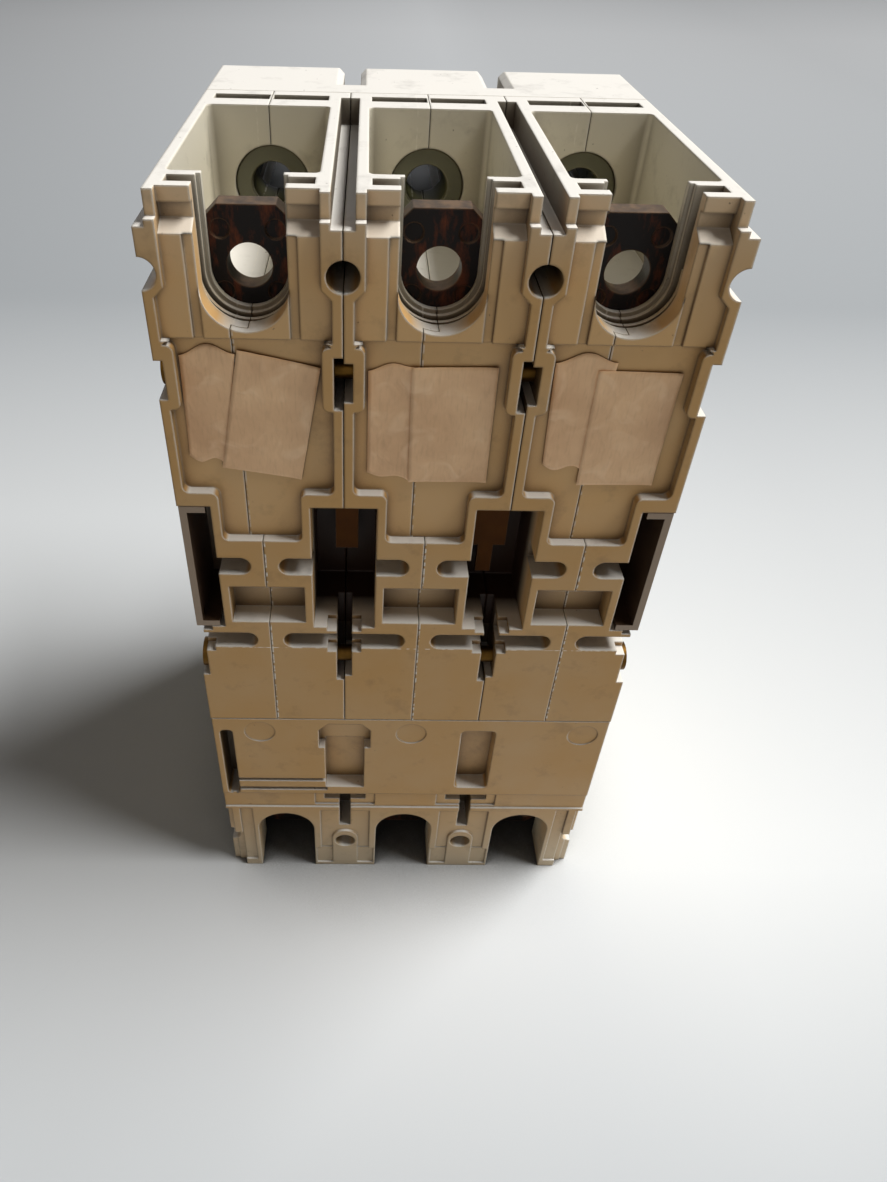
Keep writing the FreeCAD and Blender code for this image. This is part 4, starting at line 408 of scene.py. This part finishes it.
        # Painted shade with soot: the vent cavities darken with depth
        deep = fade(material, axes.outputs["Y"], (case_rear + VENT_DARK_DEPTH[0] * MM, 0.0),
                    (case_rear + VENT_DARK_DEPTH[1] * MM, 1.0))
        low = add_node(material, "Math", {0: axes.outputs["Z"], 1: VENT_ZONE[0] * MM},
                       operation="GREATER_THAN")
        top = add_node(material, "Math", {0: axes.outputs["Z"], 1: VENT_ZONE[1] * MM}, operation="LESS_THAN")
        vent = add_node(material, "Math", {0: low.outputs[0], 1: top.outputs[0]}, operation="MULTIPLY")
        vent = add_node(material, "Math", {0: vent.outputs[0], 1: side.outputs[0]}, operation="SUBTRACT",
                        use_clamp=True)
        tone = lay(material, lay(material, vent.outputs[0], "#000000", deep), tone, CASE_SOOT_AND_SHADE)

    grain = add_node(material, "TexNoise", {"Vector": where.outputs["Object"], "Scale": per_metre(GRAIN_MM),
                                            "Detail": 3.0})
    bumps = add_node(material, "Bump", {"Height": grain.outputs["Fac"], "Strength": 0.3,
                                        "Distance": 0.06 * MM, "Normal": soft.outputs["Normal"]})
    matt = add_node(material, "MapRange", {"Value": cloud.outputs["Fac"], "To Min": 0.38, "To Max": 0.60})
    return finish_shader(material, Base_Color=tone, Roughness=matt.outputs[0], Normal=bumps.outputs["Normal"],
                         IOR=1.52, Specular_IOR_Level=0.35)


housing = thermoset("moulded_polyester_halves", CASE_PALE, CASE_TAN, CASE_DEEP_TAN, 0.98, True)
for number in (1, 2, 3):
    dress(housing, "cassette_%d_left" % number, "cassette_%d_right" % number)


# Load end
# The trip unit's case is one moulding of the same compound. It closes the load end below the
# cassettes with an arch for each pole, and shows the round marks of the ejector pins.
case_block = thermoset("moulded_polyester_case", CASE_PALE, CASE_TAN, CASE_DEEP_TAN, 0.98, False, True)
dress(case_block, "trip_unit_case")


# Shields and barriers
# Pressed phenolic, dark brown and slightly shiny, that closes the vent cavities beside and between
# the poles. The plain strip and the tee hang by a bracket from the front wall of each cavity.
PLASTIC_WORN = "#b09a80"
PLASTIC_RIM = "#b59c80"
PLASTIC_CLOUD_MM = 6.0
# The filler's real grain is finer, and is drawn this coarse to show
PLASTIC_GRAIN_MM = 0.5
PLASTIC_EDGE_MM = 0.3


def moulded_plastic(name, dark, light, roughness, gloss=0.5, rim=0.0):
    """Pressed or moulded plastic with a clouded colour, edges rubbed pale and a fine grain"""
    material, where = new_material(name)
    cloud = add_node(material, "TexNoise", {"Vector": where.outputs["Object"],
                                            "Scale": per_metre(PLASTIC_CLOUD_MM), "Detail": 5.0})
    tone = add_node(material, "MixRGB", {"Fac": cloud.outputs["Fac"], "Color1": linear(dark),
                                         "Color2": linear(light)})
    soft, match = rounded_edges(material, PLASTIC_EDGE_MM)
    worn = add_node(material, "MapRange", {"Value": match.outputs["Value"], "From Min": 0.985,
                                           "From Max": 0.85, "To Max": 0.35})
    tone = add_node(material, "MixRGB", {"Fac": worn.outputs[0], "Color1": tone.outputs[0],
                                         "Color2": linear(PLASTIC_WORN)})
    facing = add_node(material, "SeparateXYZ", {0: where.outputs["Normal"]})
    outer = fade(material, facing.outputs["Y"], (-0.9, rim), (-0.5, 0.0))
    tone = add_node(material, "MixRGB", {"Fac": outer, "Color1": tone.outputs[0],
                                         "Color2": linear(PLASTIC_RIM)})
    grain = add_node(material, "TexNoise", {"Vector": where.outputs["Object"],
                                            "Scale": per_metre(PLASTIC_GRAIN_MM)})
    bumps = add_node(material, "Bump", {"Height": grain.outputs["Fac"], "Strength": 0.2,
                                        "Distance": 0.05 * MM, "Normal": soft.outputs["Normal"]})
    rough = add_node(material, "MapRange", {"Value": cloud.outputs["Fac"], "To Min": roughness - 0.08,
                                            "To Max": roughness + 0.12})
    return finish_shader(material, Base_Color=tone.outputs[0], Roughness=rough.outputs[0],
                         Normal=bumps.outputs["Normal"], IOR=1.6, Specular_IOR_Level=gloss)


pressed_shield = moulded_plastic("pressed_phenolic", "#2a1c12", "#5e4836", 0.34, 0.4, 0.55)
cut_sheet = moulded_plastic("brown_phenolic_sheet", "#4a2a10", "#6c431c", 0.75, 0.12)
dress(pressed_shield, "side_shield_left", "side_shield_right")
dress(cut_sheet, "rear_barrier_1", "rear_barrier_2")


# Labels
# Six blank paper labels, a narrow one and a wide one stuck over it on each pole's rear panel.
# The paper has browned, with soft creases, wavy ends on the narrow ones and lifted corners.
LABEL_DEPTH = 2.2
LABEL_LIFT = 0.18
LABEL_STACK = 0.16
PAPER_THICK = 0.09
PAPER_CELL = 0.8
PAPER_SHADE = "#c6976d"
PAPER_LIGHT = "#ffd6a6"
PAPER_FIBRE = "#8a6242"
PAPER_CREST_LIGHT = "#ffddb4"
BLOTCH_MM = 11.0
# Paper fibres are much finer, and are drawn this wide to show
FIBRE_MM = 0.5
RUMPLE_MM = 5.5
NARROW_LABELS = (
    ((-48.0, 175.2), (-37.6, 175.6), (-41.2, 150.6), (-48.5, 153.1), 2.1),
    ((-12.9, 172.6), (-4.2, 173.5), (-4.1, 147.4), (-12.8, 149.5), 1.1),
    ((22.1, 174.9), (33.8, 175.1), (31.6, 150.2), (22.9, 152.1), 2.0))
WIDE_LABELS = (
    ((-37.2, 176.5), (-21.8, 173.1), (-26.2, 147.5), (-42.2, 150.2), 0.0),
    ((-4.8, 173.5), (11.6, 173.8), (11.8, 147.4), (-4.3, 147.3), 0.0),
    ((30.4, 173.5), (46.5, 173.2), (46.3, 147.3), (30.6, 147.1), 0.0))


def label_paper():
    """Browned uncoated paper with blotches, fine fibres, a soft rumple and painted highlights on its crests
    """
    material, where = new_material("browned_label_paper")
    blotch = add_node(material, "TexNoise", {"Vector": where.outputs["Object"], "Scale": per_metre(BLOTCH_MM),
                                             "Detail": 4.0})
    tone = add_node(material, "MixRGB", {"Fac": blotch.outputs["Fac"], "Color1": linear(PAPER_SHADE),
                                         "Color2": linear(PAPER_LIGHT)})
    drawn = add_node(material, "Mapping", {"Vector": where.outputs["Object"], "Scale": (1.0, 1.0, 0.18)})
    fibre = add_node(material, "TexNoise", {"Vector": drawn.outputs[0], "Scale": per_metre(FIBRE_MM),
                                            "Detail": 3.0})
    threads = add_node(material, "MapRange", {"Value": fibre.outputs["Fac"], "From Min": 0.5, "From Max": 0.8,
                                              "To Max": 0.16})
    tone = add_node(material, "MixRGB", {"Fac": threads.outputs[0], "Color1": tone.outputs[0],
                                         "Color2": linear(PAPER_FIBRE)})
    rumple = add_node(material, "TexNoise", {"Vector": where.outputs["Object"], "Scale": per_metre(RUMPLE_MM),
                                             "Detail": 2.0, "Distortion": 0.8})
    # Painted highlight: the paper is paler on the crests of the rumple
    worn = fade(material, rumple.outputs["Fac"], (0.55, 0.0), (0.72, 0.35))
    tone = lay(material, worn, tone.outputs[0], PAPER_CREST_LIGHT)
    folds = add_node(material, "Bump", {"Height": rumple.outputs["Fac"], "Strength": 0.5,
                                        "Distance": 0.7 * MM})
    bumps = add_node(material, "Bump", {"Height": fibre.outputs["Fac"], "Strength": 0.25,
                                        "Distance": 0.05 * MM, "Normal": folds.outputs["Normal"]})
    return finish_shader(material, Base_Color=tone, Roughness=0.55, Normal=bumps.outputs["Normal"], IOR=1.45)


def add_piece(name, points, faces, material, body="case", smooth=True):
    """A new mesh piece that rides on a body and takes the given finish"""
    mesh = bpy.data.meshes.new(name)
    mesh.from_pydata(points, [], faces)
    mesh.polygons.foreach_set("use_smooth", [smooth] * len(mesh.polygons))
    mesh.materials.append(material)
    piece = bpy.data.objects.new(name, mesh)
    scene.collection.objects.link(piece)
    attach(piece, body)
    return piece


def between(u, v, top_left, top_right, low_right, low_left):
    """A value inside a sheet from the values at its four corners"""
    return (1 - v) * ((1 - u) * top_left + u * top_right) + v * ((1 - u) * low_left + u * low_right)


def stick_label(name, corners, lift):
    """A paper sheet over four corners in millimetres, with the height of its end's wave last"""
    top_left, top_right, low_left, wave = (corners[k] for k in (0, 1, 3, 4))
    across = max(2, round((top_right[0] - top_left[0]) / PAPER_CELL))
    down = max(2, round((top_left[1] - low_left[1]) / PAPER_CELL))
    points = []
    for j in range(down + 1):
        v = j / down
        for i in range(across + 1):
            u = i / across
            x, z = (between(u, v, *(corner[k] for corner in corners[:4])) for k in (0, 1))
            z += wave * (math.sin(math.pi * u) ** 2 * (1 - v) ** 3 - 0.5 * math.sin(2 * math.pi * u) * v ** 3)
            crease = noise.noise(Vector((x * 0.23, lift, z * 0.07)))
            corner = (abs(2 * u - 1) * abs(2 * v - 1)) ** 6
            out = lift + 0.12 * max(0.0, crease) + 0.22 * corner + 0.03 * noise.noise(Vector((x, 0.0, z)))
            points.append((x * MM, case_rear + (LABEL_DEPTH - out) * MM, z * MM))
    row = across + 1
    faces = [(j * row + i, (j + 1) * row + i, (j + 1) * row + i + 1, j * row + i + 1)
             for j in range(down) for i in range(across)]
    piece = add_piece(name, points, faces, paper)
    sheet = piece.modifiers.new("paper", "SOLIDIFY")
    sheet.thickness = PAPER_THICK * MM
    sheet.offset = 1.0


paper = label_paper()
for number in range(3):
    stick_label("narrow_label_%d" % (number + 1), NARROW_LABELS[number], LABEL_LIFT)
    stick_label("wide_label_%d" % (number + 1), WIDE_LABELS[number], LABEL_LIFT + LABEL_STACK)


# Key hole seals
# A dark washer of moulded rubber lies in the recess round each terminal's key hole and
# keeps dust out of the cover. Only the ring between the hole and the recess shows.
SEAL_OUTER = 8.4
SEAL_HOLE = 4.9
SEAL_FLOOR = 61.1
SEAL_THICK = 0.8
SEAL_HOLE_EDGE = 0.2
SEAL_RIM_EDGE = 0.3
SEAL_GAP = 0.01
TERMINAL_INSET = 16.6
RING_STEPS = 64
line_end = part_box("line_end_cover")[1].z


def turned_ring(name, centre, profile, material):
    """A closed ring about the depth axis from a profile of radius and depth in millimetres"""
    points = []
    for i in range(RING_STEPS):
        angle = 2 * math.pi * i / RING_STEPS
        for radius, depth in profile:
            points.append((centre[0] * MM + radius * MM * math.cos(angle), case_rear + depth * MM,
                           centre[1] + radius * MM * math.sin(angle)))
    size = len(profile)
    faces = []
    for i in range(RING_STEPS):
        for k in range(size):
            here, ahead = i * size, (i + 1) % RING_STEPS * size
            faces.append((here + k, ahead + k, ahead + (k + 1) % size, here + (k + 1) % size))
    add_piece(name, points, faces, material, smooth=False)


seal_rubber = moulded_plastic("grey_green_seal_rubber", "#51513c", "#6f6d55", 0.6)
seal_face = SEAL_FLOOR - SEAL_THICK
seal_profile = [(SEAL_HOLE, SEAL_FLOOR - SEAL_HOLE_EDGE),
                (SEAL_HOLE, SEAL_FLOOR - SEAL_THICK + SEAL_HOLE_EDGE),
                (SEAL_HOLE + SEAL_HOLE_EDGE, seal_face), (SEAL_OUTER - SEAL_RIM_EDGE, seal_face),
                (SEAL_OUTER, SEAL_FLOOR - SEAL_THICK + SEAL_RIM_EDGE), (SEAL_OUTER, SEAL_FLOOR - SEAL_GAP),
                (SEAL_HOLE + SEAL_HOLE_EDGE, SEAL_FLOOR - SEAL_GAP)]
for number, pole in enumerate((-POLE_PITCH, 0.0, POLE_PITCH), 1):
    turned_ring("key_hole_seal_%d" % number, (pole, line_end - TERMINAL_INSET * MM), seal_profile,
                seal_rubber)


# Terminals
# Six flat copper pads, tarnished almost black by heat, with rust brown streaks and worn upper edges.
# Each is a plain stamped bar with cut corners and one round hole, held in a slot of its cassette.
PAD_BLACK = "#050302"
PAD_DARK = "#180e08"
PAD_RUST = "#653014"
PAD_WORN = "#8a6a4e"
PAD_DUST = "#776048"
PAD_STREAK_MM = 3.5
PAD_PIT_MM = 0.7
PAD_EDGE_MM = 0.5


def tarnished_copper():
    """Heat blackened copper with rust brown streaks, fine pits and dust on its upper edges"""
    material, where = new_material("tarnished_copper_bar")
    drawn = add_node(material, "Mapping", {"Vector": where.outputs["Object"], "Scale": (1.0, 1.0, 0.35)})
    streak = add_node(material, "TexNoise", {"Vector": drawn.outputs[0], "Scale": per_metre(PAD_STREAK_MM),
                                             "Detail": 6.0, "Roughness": 0.7})
    base = add_node(material, "MixRGB", {"Fac": streak.outputs["Fac"], "Color1": linear(PAD_BLACK),
                                         "Color2": linear(PAD_DARK)})
    rust = add_node(material, "MapRange", {"Value": streak.outputs["Fac"], "From Min": 0.51, "From Max": 0.66,
                                           "To Max": 0.75})
    tone = add_node(material, "MixRGB", {"Fac": rust.outputs[0], "Color1": base.outputs[0],
                                         "Color2": linear(PAD_RUST)})
    soft, match = rounded_edges(material, PAD_EDGE_MM)
    worn = add_node(material, "MapRange", {"Value": match.outputs["Value"], "From Min": 0.985,
                                           "From Max": 0.85, "To Max": 0.45})
    tone = add_node(material, "MixRGB", {"Fac": worn.outputs[0], "Color1": tone.outputs[0],
                                         "Color2": linear(PAD_WORN)})
    facing = add_node(material, "SeparateXYZ", {0: where.outputs["Normal"]})
    lying = fade(material, facing.outputs["Z"], (0.6, 0.0), (0.9, 1.0))
    dusty = fade(material, streak.outputs["Fac"], (0.38, 0.25), (0.62, 0.9))
    tone = lay(material, lay(material, 1.0, lying, dusty, "MULTIPLY"), tone.outputs[0], PAD_DUST)
    pits = add_node(material, "TexNoise", {"Vector": where.outputs["Object"], "Scale": per_metre(PAD_PIT_MM),
                                           "Detail": 4.0})
    bumps = add_node(material, "Bump", {"Height": pits.outputs["Fac"], "Strength": 0.35,
                                        "Distance": 0.08 * MM, "Normal": soft.outputs["Normal"]})
    rough = add_node(material, "MapRange", {"Value": streak.outputs["Fac"], "To Min": 0.36, "To Max": 0.66})
    return finish_shader(material, Base_Color=tone, Roughness=rough.outputs[0], Metallic=0.6,
                         Normal=bumps.outputs["Normal"])


tarnished = tarnished_copper()
for number in (1, 2, 3):
    dress(tarnished, "line_terminal_%d" % number, "load_terminal_%d" % number)


# Metal pieces
# Turned brass rods, drawn copper bars, plated steel plates and ground pins, each with its own grain.
# They are inside the case, and show through its windows and openings and in a view from the back.
METAL_EDGE_MM = 0.25


def metal(name, tone, dark, roughness, scale_mm, stretch):
    """Bare or plated metal whose tone and polish change along the grain of how it was made"""
    material, where = new_material(name)
    stretched = add_node(material, "Mapping", {"Vector": where.outputs["Object"], "Scale": stretch})
    cloud = add_node(material, "TexNoise", {"Vector": stretched.outputs[0], "Scale": per_metre(scale_mm),
                                            "Detail": 5.0})
    mixed = add_node(material, "MixRGB", {"Fac": cloud.outputs["Fac"], "Color1": linear(dark),
                                          "Color2": linear(tone)})
    rough = add_node(material, "MapRange", {"Value": cloud.outputs["Fac"], "To Min": roughness + 0.1,
                                            "To Max": roughness - 0.08})
    soft = add_node(material, "Bevel", {"Radius": METAL_EDGE_MM * MM}, samples=4)
    bumps = add_node(material, "Bump", {"Height": cloud.outputs["Fac"], "Strength": 0.15,
                                        "Distance": 0.05 * MM, "Normal": soft.outputs["Normal"]})
    return finish_shader(material, Base_Color=mixed.outputs[0], Roughness=rough.outputs[0], Metallic=1.0,
                         Normal=bumps.outputs["Normal"])


EVEN = (1.0, 1.0, 1.0)
dress(metal("tarnished_brass", "#7d5a26", "#2a1d0c", 0.42, 3.0, EVEN), "tie_rods", "tie_rod_nuts")
bright_copper = metal("drawn_copper_bar", "#c9825c", "#8f5233", 0.32, 3.0, (1.0, 1.0, 0.1))
zinc = metal("zinc_plated_steel", "#c9cbc8", "#8d908e", 0.35, 4.0, EVEN)
arc_steel = metal("copper_washed_steel", "#a3917f", "#5f5146", 0.45, 3.0, EVEN)
for number in (1, 2, 3):
    dress(bright_copper, "load_contact_%d" % number, "moving_contact_%d" % number)
    dress(arc_steel, "arc_chutes_%d" % number)
    dress(zinc, "armature_%d" % number)
dress(zinc, "joint_bolts", "mechanism_plate_left", "mechanism_plate_right", "mechanism_screws", "handle_yoke",
      "drive_link", "trip_latch", "magnet_yokes", "cover_screws", "accessory_cover_screws")
dress(metal("ground_pin_steel", "#bfc0c0", "#86888a", 0.25, 1.0, (0.1, 1.0, 1.0)), "pivot_pins", "crank_pin",
      "drive_rods")
spring_wire = metal("drawn_spring_wire", "#9a9c9f", "#5b5e62", 0.3, 1.0, EVEN)
dress(spring_wire, "trip_button_spring")
dress(metal("rolled_bimetal", "#b8b2a2", "#7d786c", 0.3, 2.0, (1.0, 1.0, 0.1)), "bimetals")


# Operating springs
# Two close wound tension springs from the fixed anchor pins to the crank pin, hooked at both ends.
# They are drawn steel wire, and stand for the plain sleeves of the solid model.
SPRING_X = 7.7
SPRING_ANCHOR = (75.5, 126.0)
SPRING_PIN = (91.397, 122.58)
SPRING_R = 1.9
WIRE_R = 0.4
COIL_ENDS = (3.1, 3.3)
HOOK_R = (2.05, 2.2)
COIL_TURNS = 11
TURN_POINTS = 12
HOOK_ANGLES = range(290, 0, -30)
END_ANGLES = range(20, 300, 30)


def spring_route(x):
    """Points of one spring from hook to hook, in metres"""
    anchor = Vector((x * MM, case_rear + SPRING_ANCHOR[0] * MM, SPRING_ANCHOR[1] * MM))
    pin = Vector((x * MM, case_rear + SPRING_PIN[0] * MM, SPRING_PIN[1] * MM))
    along = (pin - anchor).normalized()
    sideways = Vector((1, 0, 0))
    across = along.cross(sideways)
    hook = [anchor + HOOK_R[0] * MM * (math.cos(a) * along + math.sin(a) * across)
            for a in (math.radians(d) for d in HOOK_ANGLES)]
    first = anchor + COIL_ENDS[0] * MM * along
    last = pin - COIL_ENDS[1] * MM * along
    steps = COIL_TURNS * TURN_POINTS
    coil = []
    for i in range(steps + 1):
        turn = 2 * math.pi * i / TURN_POINTS
        middle = first.lerp(last, i / steps)
        coil.append(middle + SPRING_R * MM * (math.cos(turn) * across + math.sin(turn) * sideways))
    end = [pin - HOOK_R[1] * MM * (math.cos(a) * along + math.sin(a) * across)
           for a in (math.radians(d) for d in END_ANGLES)]
    return hook + coil + end


coils = bpy.data.curves.new("wound_operating_springs", "CURVE")
coils.dimensions = "3D"
coils.bevel_depth = WIRE_R * MM
coils.bevel_resolution = 2
coils.use_fill_caps = True
coils.resolution_u = 3
for x in (-SPRING_X, SPRING_X):
    route = spring_route(x)
    line = coils.splines.new("NURBS")
    line.points.add(len(route) - 1)
    for spot, point in zip(line.points, route):
        spot.co = (*point, 1.0)
    line.order_u = 3
    line.use_endpoint_u = True
coils.materials.append(spring_wire)
springs = bpy.data.objects.new("wound_operating_springs", coils)
scene.collection.objects.link(springs)
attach(springs, "springs")
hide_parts("operating_springs")


# Covers and trip unit
# The four covers are the same pale compound and painted light as the cassettes, less tan where they face the
# front.
# The trip unit has its own dark cover. The handle is black and the trip parts are red.
COVER_CREAM = "#cdb894"
cover = thermoset("moulded_polyester_cover", CASE_PALE, COVER_CREAM, COVER_CREAM, 0.6, False)
dress(cover, "front_cover", "line_end_cover", "load_end_cover", "accessory_cover")
dress(moulded_plastic("dark_grey_trip_cover", "#2a2a2b", "#3a3a3a", 0.5), "trip_unit_cover")
rotor_compound = moulded_plastic("glass_filled_rotor_compound", "#241f1b", "#3b332c", 0.55)
dress(rotor_compound, "rotor_1", "rotor_2", "rotor_3")
dress(moulded_plastic("black_handle_plastic", "#17181a", "#242527", 0.42), "toggle_handle")
dress(moulded_plastic("red_trip_bar_plastic", "#8f2a1c", "#a83424", 0.5), "trip_bar")
dress(moulded_plastic("red_button_plastic", "#b3261c", "#c22f22", 0.36), "trip_button")
dress(moulded_plastic("white_dial_plastic", "#dcdad0", "#e8e6dd", 0.4), "dial_thermal", "dial_magnetic")


# Lettering
# Plain raised words and signs for the handle's two places, and ticks with numbers round both dials.
# They are moulded with the covers and filled with paint, dark on the pale frame and white on the dark one.
LETTER_RISE = 0.08
HANDLE_LINE = 126.0
TICK_RING = (6.9, 8.0)
TICK_WIDE = 0.35
DIAL_PLACES = (-26.0, -8.0)
DIAL_LINE = 46.0
DIAL_INSET = 0.6
WORD_SIZE = 3.4
WORD_X = 3.2
SIGN_X = -5.2
ON_LINE = HANDLE_LINE + 19.6
OFF_LINE = HANDLE_LINE - 21.4
NUMBER_SIZE = 2.4
NUMBER_RING = 10.2
FIRST_TICK = -135
TICK_STEP = 45
PAINT_WORN = "#8b8578"
PAINT_CHIP_MM = 0.8


def paint(name, code):
    """Filled lettering paint, worn through to the plastic in small chips"""
    material, where = new_material(name)
    worn = add_node(material, "TexNoise", {"Vector": where.outputs["Object"],
                                           "Scale": per_metre(PAINT_CHIP_MM), "Detail": 4.0})
    chips = add_node(material, "MapRange", {"Value": worn.outputs["Fac"], "From Min": 0.5, "From Max": 0.8,
                                            "To Max": 0.5})
    tone = add_node(material, "MixRGB", {"Fac": chips.outputs[0], "Color1": linear(code),
                                         "Color2": linear(PAINT_WORN)})
    return finish_shader(material, Base_Color=tone.outputs[0], Roughness=0.5)


def letter(name, words, size_mm, x, front, z, material):
    """Words that stand on a front face, centred on x and z, to be read from the front"""
    text = bpy.data.curves.new(name, "FONT")
    text.body = words
    text.size = size_mm * MM
    text.extrude = LETTER_RISE * MM
    text.align_x = "CENTER"
    text.align_y = "CENTER"
    text.resolution_u = 3
    text.materials.append(material)
    piece = bpy.data.objects.new(name, text)
    turned = Matrix(((-1, 0, 0, x * MM), (0, 0, 1, front), (0, 1, 0, z * MM), (0, 0, 0, 1)))
    scene.collection.objects.link(piece)
    piece.matrix_world = turned
    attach(piece, "case")


black_paint = paint("black_fill_paint", "#15161a")
white_paint = paint("white_fill_paint", "#e4e2da")
frame_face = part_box("accessory_cover")[1].y
letter("handle_word_on", "ON", WORD_SIZE, WORD_X, frame_face, ON_LINE, black_paint)
letter("handle_sign_on", "I", WORD_SIZE, SIGN_X, frame_face, ON_LINE, black_paint)
letter("handle_word_off", "OFF", WORD_SIZE, WORD_X, frame_face, OFF_LINE, black_paint)
letter("handle_sign_off", "O", WORD_SIZE, SIGN_X, frame_face, OFF_LINE, black_paint)

trip_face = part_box("dial_thermal")[1].y - DIAL_INSET * MM
for place, stem in zip(DIAL_PLACES, ("thermal", "magnetic")):
    points, faces = [], []
    for step in range(7):
        angle = math.radians(FIRST_TICK + TICK_STEP * step)
        out = Vector((-math.sin(angle), 0, math.cos(angle)))
        beside = Vector((out.z, 0, -out.x)) * TICK_WIDE / 2 * MM
        middle = Vector((place * MM, trip_face, DIAL_LINE * MM))
        ends = [middle + out * r * MM for r in TICK_RING]
        ring = [ends[0] - beside, ends[1] - beside, ends[1] + beside, ends[0] + beside]
        first = len(points)
        rise = Vector((0, LETTER_RISE * MM, 0))
        points += [tuple(p) for p in ring] + [tuple(p + rise) for p in ring]
        faces += [(first, first + 1, first + 2, first + 3), (first + 7, first + 6, first + 5, first + 4)]
        faces += [(first + k, first + 4 + k, first + 4 + (k + 1) % 4, first + (k + 1) % 4) for k in range(4)]
        if step in (0, 3, 6):
            spot = middle + out * NUMBER_RING * MM
            letter("%s_number_%d" % (stem, step), str(step // 3 * 2 + 1), NUMBER_SIZE, spot.x / MM, trip_face,
                   spot.z / MM, white_paint)
    add_piece("%s_ticks" % stem, points, faces, white_paint, smooth=False)
